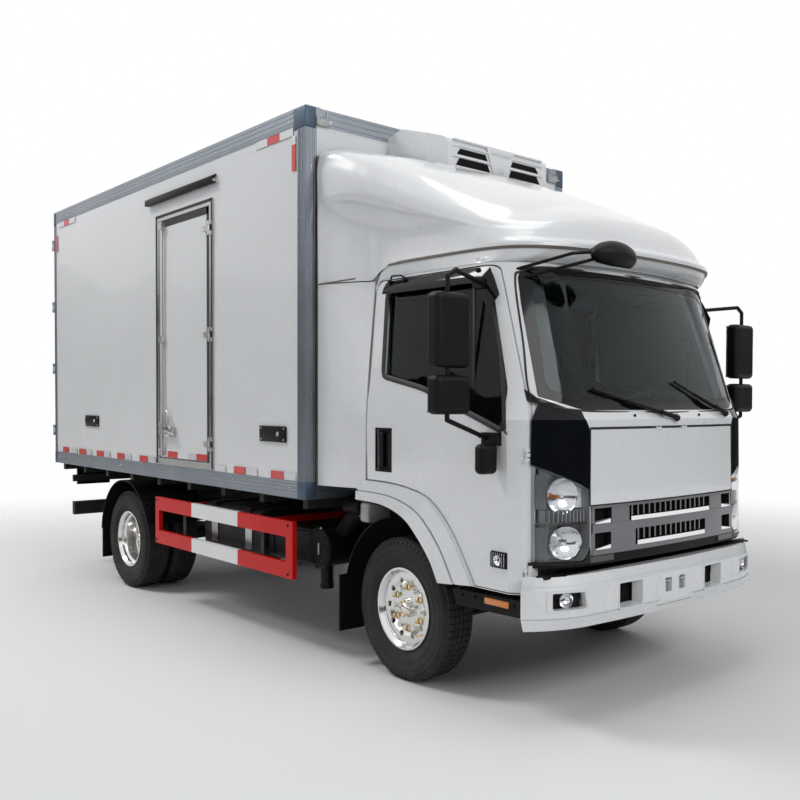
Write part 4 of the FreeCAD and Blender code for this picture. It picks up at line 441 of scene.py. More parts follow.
def make_dark_ring():
    """A far dark ring that only gloss and glass mirror, so that black and clear parts read dark."""
    mesh = bmesh.new()
    bmesh.ops.create_cone(mesh, cap_ends=False, segments=64, radius1=24.0, radius2=24.0, depth=9.0)
    bmesh.ops.translate(mesh, vec=(0, 0, 4.0), verts=mesh.verts)
    material, tree, shader = new_material("dark_ring")
    tree.nodes.remove(shader)
    place, split = make(tree, "TexCoord"), make(tree, "SeparateXYZ")
    noise, ramp = make(tree, "TexNoise", {"Scale": 0.55, "Detail": 8.0}), make(tree, "ValToRGB")
    for stop, color in zip(ramp.color_ramp.elements, ((0.012, 0.015, 0.012, 1), (0.085, 0.095, 0.080, 1))):
        stop.color = color
    lift = make(tree, "Math", {1: 3.0, 2: 3.6}, operation="MULTIPLY_ADD")
    top, share = make(tree, "Math", operation="LESS_THAN"), make(tree, "Math", operation="MULTIPLY")
    path, mix = make(tree, "LightPath"), make(tree, "MixShader")
    dark, air = make(tree, "Emission"), make(tree, "BsdfTransparent")
    wire(tree, (place, "Object", noise, "Vector"), (place, "Object", split, 0), (noise, "Fac", ramp, "Fac"),
         (noise, "Fac", lift, 0), (split, "Z", top, 0), (lift, 0, top, 1), (top, 0, share, 0),
         (path, "Is Glossy Ray", share, 1), (ramp, "Color", dark, "Color"), (share, 0, mix, "Fac"), (air, 0, mix, 1),
         (dark, 0, mix, 2), (mix, 0, tree.nodes["Material Output"], "Surface"))
    new_object("dark_ring", mesh, material)


def make_floor():
    """A pale floor that keeps the truck's shadow and fades into the white background."""
    mesh = bmesh.new()
    bmesh.ops.create_grid(mesh, x_segments=1, y_segments=1, size=60.0)
    material, tree, shader = new_material("pale_floor")
    shader.inputs["Base Color"].default_value = (0.86, 0.86, 0.86, 1)
    shader.inputs["Roughness"].default_value = 0.9
    place, length = make(tree, "TexCoord"), make(tree, "VectorMath", operation="LENGTH")
    fade = make(tree, "MapRange", {"From Min": 3.0, "From Max": 9.5}, interpolation_type="SMOOTHSTEP")
    open_air, mix = make(tree, "BsdfTransparent"), make(tree, "MixShader")
    wire(tree, (place, "Object", length, 0), (length, "Value", fade, "Value"), (fade, "Result", mix, "Fac"),
         (shader, 0, mix, 1), (open_air, 0, mix, 2), (mix, 0, tree.nodes["Material Output"], "Surface"))
    new_object("floor", mesh, material)


def make_world():
    """Soft light from all round, and plain white where it is seen, mirrored or shows through glass."""
    world = bpy.data.worlds.new("studio")
    bpy.context.scene.world = world
    world.use_nodes = True
    tree = world.node_tree
    back = tree.nodes["Background"]
    back.inputs["Color"].default_value = (0.93, 0.96, 1.0, 1)
    back.inputs["Strength"].default_value = 0.30
    white, path = make(tree, "Background", {"Color": (1, 1, 1, 1), "Strength": 1.0}), make(tree, "LightPath")
    seen, more = [make(tree, "Math", operation="ADD", use_clamp=True) for _ in range(2)]
    mix = make(tree, "MixShader")
    wire(tree, (path, "Is Camera Ray", seen, 0), (path, "Is Glossy Ray", seen, 1), (seen, 0, more, 0),
         (path, "Is Transmission Ray", more, 1), (more, 0, mix, "Fac"), (back, 0, mix, 1), (white, 0, mix, 2),
         (mix, 0, tree.nodes["World Output"], "Surface"))


def make_lamps():
    for name, place, aim, size, power in LAMPS:
        light = bpy.data.lights.new(name, "AREA")
        light.shape = "RECTANGLE"
        light.size, light.size_y = size
        light.energy = power
        item = bpy.data.objects.new(name, light)
        item.location = place
        item.rotation_euler = (Vector(aim) - Vector(place)).to_track_quat("-Z", "Y").to_euler()
        bpy.context.scene.collection.objects.link(item)


make_camera()
make_floor()
make_dark_ring()
make_world()
make_lamps()

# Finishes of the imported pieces

FINISHED_NODES = (
    (CAST_IRON, ("engine_block", "driveline")), (EXHAUST, ("exhaust",)), (RED_GUARD, ("side_guards",)),
    (BLACK_PLASTIC, ("air_cleaner", "battery_box", "mudguards", "cab_steps", "front_mirror", "wipers", "mirror_left",
                     "mirror_right")),
    (WHITE_PAINT, ("front_bumper", "reefer_unit", "front_panel", "wheel_arches", "roof_fairing")),
    (RED_LENS, ("tail_lamps",)), (LENS, ("clear_lamps", "headlamps")), (FLOOR_PANEL, ("box_floor",)),
    (WHITE_PANEL, ("box_roof", "box_wall_left", "box_wall_right", "box_wall_front")), (ALUMINIUM, ("box_frame",)),
    (STEEL, ("side_door_frame",)), (SIDE_LEAF_PANEL, ("side_door",)),
    (REAR_LEAF_PANEL, ("rear_door_left", "rear_door_right")),
    (CAB_PAINT, ("cab_shell", "cab_door_left", "cab_door_right")), (SCREEN_GLASS, ("cab_glass",)),
    (DOOR_GLASS, ("door_glass_left", "door_glass_right")), (GLOSS_BLACK, ("corner_panels",)),
    (DARK_CHROME, ("grille",)), (CABIN_PLASTIC, ("dashboard", "steering_wheel")), (SEAT_CLOTH, ("seats",)),
    (POLISHED, ("front_rim_left", "front_rim_right", "rear_rims_left", "rear_rims_right")),
    (RUBBER, ("front_tyre_left", "front_tyre_right", "rear_tyres_left", "rear_tyres_right")),
)
NODE_FINISH = {name: material for material, names in FINISHED_NODES for name in names}
region_tone(RED_GUARD, (-0.306, -2.0, -1.0), (0.346, 2.0, 4.0), (0.82, 0.82, 0.82))

for name, item in nodes.items():
    item.data.materials.clear()
    item.data.materials.append(NODE_FINISH.get(name, CHASSIS))

# Tyres with ribbed tread

TREAD_RADIUS = 0.380
TREAD_PITCHES = 64


def tread_block(mesh, low, high, skew, angle_share, top, base):
    """One block of tread, skewed round the tyre, at the top of the wheel."""
    length = math.tau * TREAD_RADIUS / TREAD_PITCHES * angle_share
    made = bmesh.ops.create_cube(mesh, size=1.0)["verts"]
    bmesh.ops.scale(mesh, vec=(length, high - low, top - base), verts=made)
    bmesh.ops.translate(mesh, vec=(0, (low + high) / 2, (top + base) / 2), verts=made)
    for vert in made:
        vert.co.x += skew * (vert.co.y - (low + high) / 2)
    top_edges = [e for e in edges_of(made) if all(v.co.z > base + 0.001 for v in e.verts)]
    return soften(mesh, made, top_edges, 0.0012, 1)


def tyre_piece(name, y, x, body, node):
    """A tyre: moulded side walls with rings and lugs, and five ribs of skewed blocks."""
    mesh = bmesh.new()
    half = 0.100
    side = [(0.2035, 0.064), (0.206, 0.071), (0.216, 0.0745), (0.224, 0.0735), (0.228, 0.0765), (0.232, 0.0765),
            (0.236, 0.0795), (0.252, 0.089), (0.268, 0.0955), (0.271, 0.0975), (0.275, 0.0975), (0.278, 0.0965),
            (0.296, half - 0.0012), (0.312, half - 0.0012), (0.315, half), (0.319, half), (0.322, half - 0.002),
            (0.336, half - 0.005), (0.339, 0.0965), (0.343, 0.0955), (0.352, 0.090), (0.360, 0.0845), (0.3665, 0.079),
            (0.3685, 0.074)]
    ribs = [(0.3690, 0.060), (0.3690, 0.030), (0.3690, 0.0)]
    profile = side + ribs + [(r, -v) for r, v in reversed(ribs[:-1])] + [(r, -v) for r, v in reversed(side)]
    add_lathe(mesh, [(r, y + v) for r, v in profile], (0.0, 0.0), 96)
    made = []
    for low, high, skew, share, top in ((0.046, 0.0765, 0.16, 0.86, 0.3790), (0.0175, 0.0415, -0.42, 0.88, 0.3794),
                                        (-0.012, 0.012, 0.42, 0.88, 0.3794), (-0.0415, -0.0175, -0.42, 0.88, 0.3794),
                                        (-0.0765, -0.046, 0.16, 0.86, 0.3790)):
        made += tread_block(mesh, y + low, y + high, skew, share, top, 0.3672)
    for sign in (1, -1):
        middle = y + sign * 0.0885
        lug = add_box(mesh, (-0.0105, middle - 0.0075, 0.343), (0.0105, middle + 0.0075, 0.357), 0.0015, 1)
        bmesh.ops.rotate(mesh, cent=(0, middle, 0.350), matrix=Matrix.Rotation(sign * -0.95, 3, "X"), verts=lug)
        made += lug
    geom = made + edges_of(made) + faces_of(made)
    turn = math.tau / TREAD_PITCHES
    bmesh.ops.spin(mesh, geom=geom, cent=(0, 0, 0), axis=(0, 1, 0), dvec=(0, 0, 0), angle=turn * (TREAD_PITCHES - 1),
                   steps=TREAD_PITCHES - 1, use_merge=False, use_duplicate=True)
    bmesh.ops.translate(mesh, vec=(x, 0, AXLE_HEIGHT), verts=mesh.verts)
    bmesh.ops.remove_doubles(mesh, verts=mesh.verts, dist=1e-6)
    piece = solid(name, mesh, RUBBER, body, "tyre", 40)
    if node:
        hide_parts(node)


for sign, side in SIDES:
    tyre_piece("front_tread_tyre_" + side, sign * 0.792, FRONT_AXLE, "front_wheel_" + side, "front_tyre_" + side)
    tyre_piece("rear_outer_tread_tyre_" + side, sign * 0.898, REAR_AXLE, "rear_wheels_" + side, "rear_tyres_" + side)
    tyre_piece("rear_inner_tread_tyre_" + side, sign * 0.666, REAR_AXLE, "rear_wheels_" + side, None)


# Shapes of the cab's outside

NOSE_LEVELS = ((0.600, 1.095, 1.068, 0.600, 0.850, 0.930), (1.400, 1.080, 1.050, 0.610, 0.830, 0.930),
               (1.480, 1.030, 1.000, 0.600, 0.800, 0.925), (2.170, 0.825, 0.785, 0.500, 0.610, 0.862))


def nose_x(y, z, inset=0.0):
    """How far forward the cab's outside lies at one width and height, moved in by a small depth."""
    y = abs(y)
    for low, high in zip(NOSE_LEVELS, NOSE_LEVELS[1:]):
        if z <= high[0] or high is NOSE_LEVELS[-1]:
            t = (z - low[0]) / (high[0] - low[0])
            front, knee, knee_y, corner, half = [a + t * (b - a) for a, b in zip(low[1:], high[1:])]
            break
    if y <= knee_y:
        return FRONT_AXLE + front - (front - knee) * (y / knee_y) ** 2 - inset
    start, end = Vector((knee, knee_y)), Vector((corner, half))
    middle = (start + end) / 2 + Vector((half - knee_y, knee - corner)).normalized() * (end - start).length * 0.13
    low_t, high_t = 0.0, 1.0
    control = middle * 2 - (start + end) / 2
    for _ in range(24):
        t = (low_t + high_t) / 2
        at = start * (1 - t) ** 2 + control * 2 * t * (1 - t) + end * t ** 2
        if at.y < y:
            low_t = t
        else:
            high_t = t
    return FRONT_AXLE + at.x - inset * 1.4


def cab_side(z):
    """How far out the cab's side lies at one height."""
    return 0.930 if z < 1.40 else 0.930 - 0.005 * min((z - 1.40) / 0.08, 1) - 0.0913 * max(z - 1.48, 0.0)


def add_surface(mesh, columns, rows, place, material=0):
    """A grid bent into a surface: place(u, v) gives each point, u and v running from 0 to 1."""
    made = bmesh.ops.create_grid(mesh, x_segments=columns, y_segments=rows, size=1.0)["verts"]
    for vert in made:
        vert.co = place((vert.co.x + 1) / 2, (vert.co.y + 1) / 2)
    return paint(made, material)


def thicken(mesh, verts, depth):
    """Gives a surface a second skin at a depth along its normals."""
    faces = faces_of(verts)
    bmesh.ops.recalc_face_normals(mesh, faces=faces)
    out = bmesh.ops.solidify(mesh, geom=faces, thickness=depth)["geom"]
    return list({v for v in out if isinstance(v, bmesh.types.BMVert)} | set(verts))


def along(points, t):
    """A point on the smooth curve through a list of points."""
    count = len(points) - 1
    place = min(max(t, 0.0), 1.0) * count
    number = min(int(place), count - 1)
    t = place - number
    p1, p2 = points[number], points[number + 1]
    p0 = points[number - 1] if number else p1 * 2 - p2
    p3 = points[number + 2] if number + 2 <= count else p2 * 2 - p1
    return (p1 * 2 + (p2 - p0) * t + (p0 * 2 - p1 * 5 + p2 * 4 - p3) * t ** 2
            + (p1 * 3 - p0 - p2 * 3 + p3) * t ** 3) / 2


def from_axle(points):
    """Points given as (x, z) or (x, y, z), with x from the front axle, as vectors."""
    return [Vector((FRONT_AXLE + p[0], p[1] if len(p) > 2 else 0, p[-1])) for p in points]


# Roof fairing with its skirts and seal, and the roof's brow below it

FAIRING_SIDES = (
    (-0.600, ((1.012, 2.143), (1.013, 2.320), (1.014, 2.470), (1.014, 2.585), (1.014, 2.640), (1.012, 2.810),
              (0.945, 2.900), (0.560, 2.935), (0, 2.945))),
    (-0.470, ((0.965, 2.143), (0.966, 2.320), (0.972, 2.470), (0.990, 2.568), (1.008, 2.622), (1.002, 2.790),
              (0.925, 2.882), (0.540, 2.910), (0, 2.922))),
    (-0.330, ((0.908, 2.143), (0.912, 2.310), (0.924, 2.450), (0.956, 2.548), (0.994, 2.598), (0.985, 2.750),
              (0.890, 2.842), (0.520, 2.880), (0, 2.895))),
    (-0.255, ((0.892, 2.143), (0.898, 2.300), (0.908, 2.432), (0.941, 2.530), (0.980, 2.580), (0.972, 2.722),
              (0.872, 2.819), (0.510, 2.859), (0, 2.874))),
    (-0.190, ((0.878, 2.188), (0.882, 2.290), (0.892, 2.415), (0.926, 2.512), (0.966, 2.562), (0.960, 2.695),
              (0.855, 2.796), (0.500, 2.838), (0, 2.853))),
    (-0.060, ((0.876, 2.222), (0.870, 2.280), (0.876, 2.380), (0.903, 2.470), (0.936, 2.522), (0.925, 2.640),
              (0.810, 2.745), (0.480, 2.790), (0, 2.808))),
    (0.100, ((0.874, 2.224), (0.866, 2.270), (0.866, 2.350), (0.885, 2.430), (0.910, 2.474), (0.893, 2.578),
             (0.772, 2.680), (0.455, 2.732), (0, 2.753))),
    (0.240, ((0.872, 2.224), (0.865, 2.262), (0.862, 2.330), (0.874, 2.400), (0.888, 2.435), (0.862, 2.520),
             (0.730, 2.615), (0.430, 2.672), (0, 2.695))),
    (0.400, ((0.866, 2.224), (0.860, 2.255), (0.855, 2.305), (0.856, 2.358), (0.858, 2.388), (0.825, 2.455),
             (0.685, 2.548), (0.395, 2.605), (0, 2.628))),
    (0.560, ((0.852, 2.224), (0.848, 2.247), (0.842, 2.282), (0.832, 2.317), (0.822, 2.342), (0.785, 2.390),
             (0.640, 2.478), (0.360, 2.535), (0, 2.556))),
)
FAIRING_FRONT = (
    ((0.740, 0.790, 2.224), (0.738, 0.786, 2.246), (0.725, 0.772, 2.264), (0.715, 0.755, 2.292),
     (0.705, 0.735, 2.322), (0.690, 0.690, 2.366), (0.670, 0.530, 2.440), (0.640, 0.280, 2.502), (0.620, 0, 2.526)),
    ((0.865, 0.640, 2.224), (0.862, 0.636, 2.247), (0.840, 0.615, 2.264), (0.828, 0.602, 2.292),
     (0.815, 0.585, 2.327), (0.790, 0.545, 2.372), (0.755, 0.420, 2.432), (0.720, 0.220, 2.474), (0.700, 0, 2.489)),
    ((0.930, 0.420, 2.224), (0.928, 0.418, 2.249), (0.900, 0.405, 2.266), (0.888, 0.398, 2.294),
     (0.875, 0.390, 2.332), (0.852, 0.370, 2.377), (0.815, 0.290, 2.420), (0.780, 0.150, 2.448), (0.760, 0, 2.458)),
    ((0.952, 0.200, 2.224), (0.950, 0.199, 2.249), (0.920, 0.195, 2.266), (0.908, 0.192, 2.294),
     (0.896, 0.190, 2.334), (0.872, 0.180, 2.379), (0.835, 0.140, 2.418), (0.803, 0.070, 2.438), (0.785, 0, 2.446)),
    ((0.958, 0, 2.224), (0.956, 0, 2.249), (0.925, 0, 2.266), (0.914, 0, 2.294), (0.902, 0, 2.335),
     (0.878, 0, 2.381), (0.842, 0, 2.420), (0.812, 0, 2.435), (0.795, 0, 2.441)),
)
FAIRING_RIBS = [[Vector((FRONT_AXLE + x, y, z)) for y, z in rib] for x, rib in FAIRING_SIDES]
FAIRING_RIBS += [from_axle(rib) for rib in FAIRING_FRONT]


def fairing_point(u, v):
    """A point of the fairing's left half: u runs from the box to the front, v from the edge to the ridge."""
    point = along([along(rib, v) for rib in FAIRING_RIBS], u)
    point.y = max(point.y, 0.0)
    return point


def skirt_point(u, v):
    """A point of the left skirt between the box and the cab's rear edge."""
    z = 1.004 + (2.136 - 1.004) * v
    x = -0.600 + 0.349 * u
    near = cab_side(z) + 0.005
    return Vector((FRONT_AXLE + x, 1.012 + (near - 1.012) * (u ** 1.25), z))


def roof_fairing_piece():
    mesh = bmesh.new()
    both_sides(mesh, add_surface(mesh, 84, 56, fairing_point))
    bmesh.ops.remove_doubles(mesh, verts=mesh.verts, dist=1e-5)
    for place, axis in (((0, 0.538, 0), (0, 1, 0)), ((0, -0.538, 0), (0, 1, 0)), ((1.722, 0, 0), (1, 0, 0))):
        bmesh.ops.bisect_plane(mesh, geom=list(mesh.verts) + list(mesh.edges) + list(mesh.faces), plane_co=place,
                               plane_no=axis, dist=1e-6)
    gone = [f for f in mesh.faces if f.calc_center_median().x < 1.722 and abs(f.calc_center_median().y) < 0.538]
    bmesh.ops.delete(mesh, geom=gone, context="FACES")
    both_sides(mesh, add_surface(mesh, 14, 40, skirt_point))
    thicken(mesh, list(mesh.verts), 0.006)
    for sign in (1, -1):
        add_box(mesh, (1.252, sign * 0.541 - 0.003, 2.60), (1.722, sign * 0.541 + 0.003, 2.80), 0.001, 1)
    add_box(mesh, (1.716, -0.541, 2.60), (1.722, 0.541, 2.822), 0.001, 1)
    piece = solid("roof_fairing_skin", mesh, WHITE_PAINT, "cab", "white_paint", 50)
    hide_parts("roof_fairing")
    mesh = bmesh.new()
    path = from_axle([(-0.243, cab_side(1.02), 1.02), (-0.243, cab_side(1.6), 1.60), (-0.243, cab_side(2.05), 2.05),
                      (-0.222, 0.872, 2.150), (-0.160, 0.872, 2.205), (-0.060, 0.873, 2.216), (0.240, 0.871, 2.217),
                      (0.560, 0.851, 2.217), (0.740, 0.788, 2.217), (0.862, 0.638, 2.217), (0.926, 0.418, 2.217),
                      (0.948, 0.199, 2.217), (0.953, 0, 2.217)])

    def strip(u, v):
        wave, swell = math.sin(v * math.tau), math.cos(v * math.tau)
        return along(path, u) + Vector((0.0045 * wave, 0.0045 * swell, 0.0085 * wave))
    both_sides(mesh, add_surface(mesh, 90, 6, strip))
    for sign in (1, -1):
        add_box(mesh, (1.252, sign * 1.006 - 0.004, 2.1355), (1.600, sign * 1.006 + 0.004, 2.1435), 0.001, 1)
        add_box(mesh, (1.238, sign * 1.008 - 0.006, 1.01), (1.251, sign * 1.008 + 0.006, 2.86), 0.002, 1)
    solid("fairing_seal", mesh, GASKET, "cab", "black_plastic", 40)
    mesh = bmesh.new()
    low = from_axle([(-0.243, 0.872, 2.06), (-0.200, 0.870, 2.135), (-0.060, 0.868, 2.148), (0.240, 0.868, 2.150),
                     (0.560, 0.866, 2.150), (0.645, 0.846, 2.152), (0.762, 0.705, 2.156), (0.806, 0.500, 2.160),
                     (0.842, 0.250, 2.164), (0.847, 0, 2.165)])
    high = from_axle([(-0.240, 0.874, 2.10), (-0.190, 0.873, 2.180), (-0.060, 0.872, 2.214), (0.240, 0.869, 2.216),
                      (0.560, 0.849, 2.216), (0.738, 0.785, 2.216), (0.860, 0.634, 2.216), (0.922, 0.416, 2.216),
                      (0.944, 0.198, 2.216), (0.949, 0, 2.216)])

    def brow(u, v):
        one, two = along(low, u), along(high, u)
        bulge = (two - one).cross(Vector((0, 0, 1)))
        point = one.lerp(two, v)
        point.z -= 0.012 * math.sin(v * math.pi) * min(bulge.length * 25, 1.0)
        return point
    both_sides(mesh, add_surface(mesh, 72, 8, brow))
    bmesh.ops.remove_doubles(mesh, verts=mesh.verts, dist=1e-5)
    thicken(mesh, list(mesh.verts), 0.004)
    solid("roof_brow", mesh, WHITE_PAINT, "cab", "white_paint", 50)


roof_fairing_piece()

# Windscreen's black border and seal, and the joints round the front panel

SCREEN_CORNERS = ((0.0, 1.430), (0.620, 1.442), (0.800, 1.478), (0.838, 1.530), (0.812, 1.760), (0.782, 2.050),
                  (0.745, 2.105), (0.600, 2.132), (0.0, 2.140))


def screen_border():
    """Black band printed round the inside edge of the windscreen, and the rubber round it."""
    outer = [Vector((0, y, z)) for y, z in SCREEN_CORNERS]
    inner = [Vector((0, y, z)) for y, z in ((0, 1.495), (0.590, 1.506), (0.735, 1.536), (0.762, 1.585),
                                            (0.742, 1.770), (0.716, 2.010), (0.686, 2.058), (0.570, 2.088),
                                            (0, 2.097))]
    curve = [Vector((nose_x(p.y, p.z, 0.001), p.y, p.z)) for p in outer]

    def band(u, v):
        flat = along(outer, u).lerp(along(inner, u), v)
        return Vector((nose_x(flat.y, flat.z, 0.0028), flat.y, flat.z))

    def rim(u, v):
        turn = v * math.tau
        wide = 0.006 if 0.2 < u < 0.8 else 0
        return along(curve, u) + Vector((0.006 * math.cos(turn), wide * math.sin(turn), 0.006 * math.sin(turn)))
    mesh = bmesh.new()
    both_sides(mesh, add_surface(mesh, 110, 4, band))
    bmesh.ops.remove_doubles(mesh, verts=mesh.verts, dist=1e-5)
    thicken(mesh, list(mesh.verts), 0.0008)
    solid("screen_border", mesh, GLOSS_BLACK, "cab", "gloss_black", 50)
    mesh = bmesh.new()
    both_sides(mesh, add_surface(mesh, 110, 6, rim))
    solid("screen_seal", mesh, SEAL, "cab", "black_plastic", 60)


screen_border()


def nose_band(mesh, y_range, lower, upper, out=0.004, depth=0.012, columns=40, material=0):
    """A curved bar that lies on the cab's face between two height lines given as functions of y."""
    low_y, high_y = y_range

    def place(u, v):
        y = low_y + (high_y - low_y) * u
        z = lower(y) + (upper(y) - lower(y)) * v
        return Vector((nose_x(y, z, -out), y, z))
    verts = add_surface(mesh, columns, 3, place, material)
    return thicken(mesh, verts, depth)


def front_trim():
    mesh = bmesh.new()
    nose_band(mesh, (-0.600, 0.600), lambda y: 1.360, lambda y: 1.366, 0.001, 0.006)
    nose_band(mesh, (-0.605, 0.605), lambda y: 0.9985, lambda y: 1.0035, 0.0005, 0.006)
    for sign in (1, -1):
        add_box(mesh, (2.893, sign * 0.6025 - 0.0018, 1.003), (2.908, sign * 0.6025 + 0.0018, 1.356), 0.0, 1)
    solid("front_panel_joints", mesh, SEAL, "cab", "black_plastic", 40)


front_trim()


def grille_piece():
    """Dark chrome bands with barred slots, pointed side openings and bright lower lips."""
    mesh = bmesh.new()
    edge = 0.598

    def full(low, high, out, columns=48):
        nose_band(mesh, (-edge, edge), lambda y: low, lambda y: high, out, 0.030, columns)
    full(0.986, 0.9975, 0.004)
    full(0.872, 0.914, 0.010)
    full(0.768, 0.793, 0.004)
    for sign in (1, -1):
        for low, high, near, far in ((0.914, 0.986, 0.345, 0.470), (0.793, 0.872, 0.300, 0.475)):
            span = widths(sign, near, far)
            nose_band(mesh, span, lambda y: low - 0.001, lambda y: high + 0.001, 0.007, 0.030, 10)
            nose_band(mesh, widths(sign, edge - 0.022, edge), lambda y: low, lambda y: high, 0.0, 0.03, 3)
        nose_band(mesh, widths(sign, 0.470, 0.580), lambda y: 0.914,
                  lambda y: 0.914 + max(0.0, 0.022 - abs(abs(y) - 0.47) * 0.1), 0.0, 0.03, 6)
    for low, high, half, count in ((0.932, 0.986, 0.330, 15), (0.812, 0.872, 0.285, 13)):
        for number in range(count):
            y = (number - (count - 1) / 2) * (2 * half / count)
            nose_band(mesh, (y - 0.0055, y + 0.0055), lambda y: low, lambda y: high, -0.006, 0.018, 1)
    for low, high, half in ((0.914, 0.934, 0.335), (0.793, 0.814, 0.290)):
        nose_band(mesh, (-half, half), lambda y: low, lambda y: high, 0.011, 0.02, 36, 1)
    for sign in (1, -1):
        for low in (0.914, 0.793):
            span = widths(sign, 0.475, 0.578)
            nose_band(mesh, span, lambda y: low, lambda y: low + 0.004 + 0.16 * max(0.0, 0.578 - abs(y)) * 0.9, 0.006,
                      0.03, 10, 1)
    piece = solid("grille_bands", mesh, [DARK_CHROME, CHROME], "cab", "dark_chrome", 35)
    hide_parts("grille")
    # Painted shade: a near-black sheet behind the grille's slots stands for the shade inside the nose
    mesh = bmesh.new()
    nose_band(mesh, (-0.5985, 0.5985), lambda y: 0.7645, lambda y: 0.9975, -0.036, 0.008, 20)
    for sign in (1, -1):
        add_box(mesh, (2.888, sign * 0.5990 - 0.001, 0.7645), (2.912, sign * 0.5990 + 0.001, 0.9975), 0.0, 1)
    solid("grille_backing", mesh, BLACK_AND_SHADE, "cab", "black_plastic", 40)
    mesh = bmesh.new()
    for number in range(26):
        y = -0.55 + number * 0.044
        add_box(mesh, (2.800, y - 0.006, 0.700), (2.806, y + 0.006, 0.745), 0.001, 1)
    add_box(mesh, (2.785, -0.560, 0.692), (2.800, 0.560, 0.758), 0.002, 1)
    for z in (0.700, 0.722, 0.744):
        add_box(mesh, (2.800, -0.560, z - 0.003), (2.812, 0.560, z + 0.003), 0.001, 1)
    solid("radiator_front", mesh, BLACK_AND_SHADE, "root", "black_plastic", 40)


grille_piece()


# Black deck at the windscreen's lower corners, and the headlamps

DECK_TOP = ((0.630, 1.440), (0.700, 1.452), (0.760, 1.466), (0.800, 1.478), (0.838, 1.528), (0.880, 1.562))
DECK_FOOT = ((0.630, 1.400), (0.700, 1.430), (0.760, 1.450), (0.800, 1.464), (0.838, 1.482), (0.880, 1.500))


def line_at(points, y):
    """Height of a line through (y, z) points at one width."""
    for (y0, z0), (y1, z1) in zip(points, points[1:]):
        if y <= y1:
            return z0 + (z1 - z0) * (y - y0) / (y1 - y0)
    return points[-1][1]


def corner_deck():
    mesh = bmesh.new()

    def place(u, v):
        y = 0.630 + 0.225 * u
        z = line_at(DECK_FOOT, y) + (line_at(DECK_TOP, y) - line_at(DECK_FOOT, y)) * v
        return Vector((nose_x(y, z, -0.0015), y, z))
    both_sides(mesh, thicken(mesh, add_surface(mesh, 24, 6, place), 0.003))
    solid("corner_deck", mesh, GLOSS_BLACK, "cab", "gloss_black", 40)


corner_deck()

LAMP_TOP = ((0.606, 1.076), (0.850, 1.190), (0.880, 1.194))
LAMP_FOOT = ((0.606, 0.800), (0.640, 0.752), (0.880, 0.752))


def lamp_point(u, v, inset):
    y = 0.607 + 0.247 * u
    z = line_at(LAMP_FOOT, y) + (line_at(LAMP_TOP, y) - line_at(LAMP_FOOT, y)) * v
    return Vector((nose_x(y, z, inset), y, z))


def headlamp_pieces():
    lens = bmesh.new()
    both_sides(lens, thicken(lens, add_surface(lens, 28, 40, lambda u, v: lamp_point(u, v, 0.0005)), 0.003))
    piece = solid("headlamp_lens", lens, LENS, "cab", "lamp_lens", 40)
    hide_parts("headlamps")
    bowl = bmesh.new()
    made = add_surface(bowl, 20, 28, lambda u, v: lamp_point(u, v, 0.048))
    rim = [e for e in bowl.edges if e.is_boundary]
    walls = bmesh.ops.extrude_edge_only(bowl, edges=rim)["geom"]
    moved = [v for v in walls if isinstance(v, bmesh.types.BMVert)]
    for vert in moved:
        vert.co.x = nose_x(vert.co.y, vert.co.z, 0.004)
    made += moved
    for z in (0.916, 0.924):
        made += add_surface(bowl, 20, 1, lambda u, v: Vector((nose_x(0.607 + 0.247 * u, z, 0.008 + 0.035 * v),
                                                             0.607 + 0.247 * u, z)))
    for number in range(11):
        y = 0.628 + number * 0.0185
        made += add_box(bowl, (nose_x(y, 0.955, 0.034), y - 0.0022, 0.930),
                        (nose_x(y, 0.955, 0.012), y + 0.0022, 0.985), 0.0006, 1)
    for number in range(7):
        y = 0.806 + number * 0.0070
        made += add_box(bowl, (nose_x(y, 1.06, 0.030), y - 0.0014, 0.992),
                        (nose_x(y, 1.06, 0.010), y + 0.0014, 1.150), 0.0004, 1)
        made += add_box(bowl, (nose_x(y, 0.84, 0.030), y - 0.0014, 0.762),
                        (nose_x(y, 0.84, 0.010), y + 0.0014, 0.908), 0.0004, 1)
    both_sides(bowl, made)
    solid("headlamp_bowl", bowl, LAMP_GREY, "cab", "dark_chrome", 30)
    shine = bmesh.new()
    aim = (1.0, 0.32, 0.0)
    upper = [(0.014, 0.0), (0.030, 0.003), (0.052, 0.012), (0.068, 0.023), (0.078, 0.034), (0.082, 0.036),
             (0.082, 0.030)]
    made = add_turned(shine, upper, (nose_x(0.722, 1.05, 0.046), 0.722, 1.050), aim, 40)
    lower = [(0.014, 0.0), (0.034, 0.004), (0.056, 0.014), (0.074, 0.028), (0.086, 0.040), (0.089, 0.041),
             (0.089, 0.036)]
    low = add_turned(shine, lower, (nose_x(0.712, 0.835, 0.046), 0.712, 0.834), aim, 14)
    bmesh.ops.scale(shine, vec=(1, 1, 0.86), verts=low, space=Matrix.Translation((-2.85, -0.712, -0.834)))
    made += low + add_turned(shine, [(0.0, 0.030), (0.013, 0.028), (0.016, 0.020), (0.016, 0.0)],
                             (nose_x(0.712, 0.835, 0.046), 0.712, 0.834), aim, 20)
    both_sides(shine, made)
    solid("headlamp_reflectors", shine, REFLECTOR, "cab", "polished_rim", 18)
    bulb = bmesh.new()
    made = add_turned(bulb, [(0.0, 0.030), (0.006, 0.028), (0.009, 0.020), (0.008, 0.008), (0.006, 0.0)],
                      (nose_x(0.735, 1.05, 0.042), 0.735, 1.046), aim, 18)
    both_sides(bulb, made)
    solid("turn_bulbs", bulb, AMBER, "cab", "red_lens", 40)


headlamp_pieces()

# Bumper


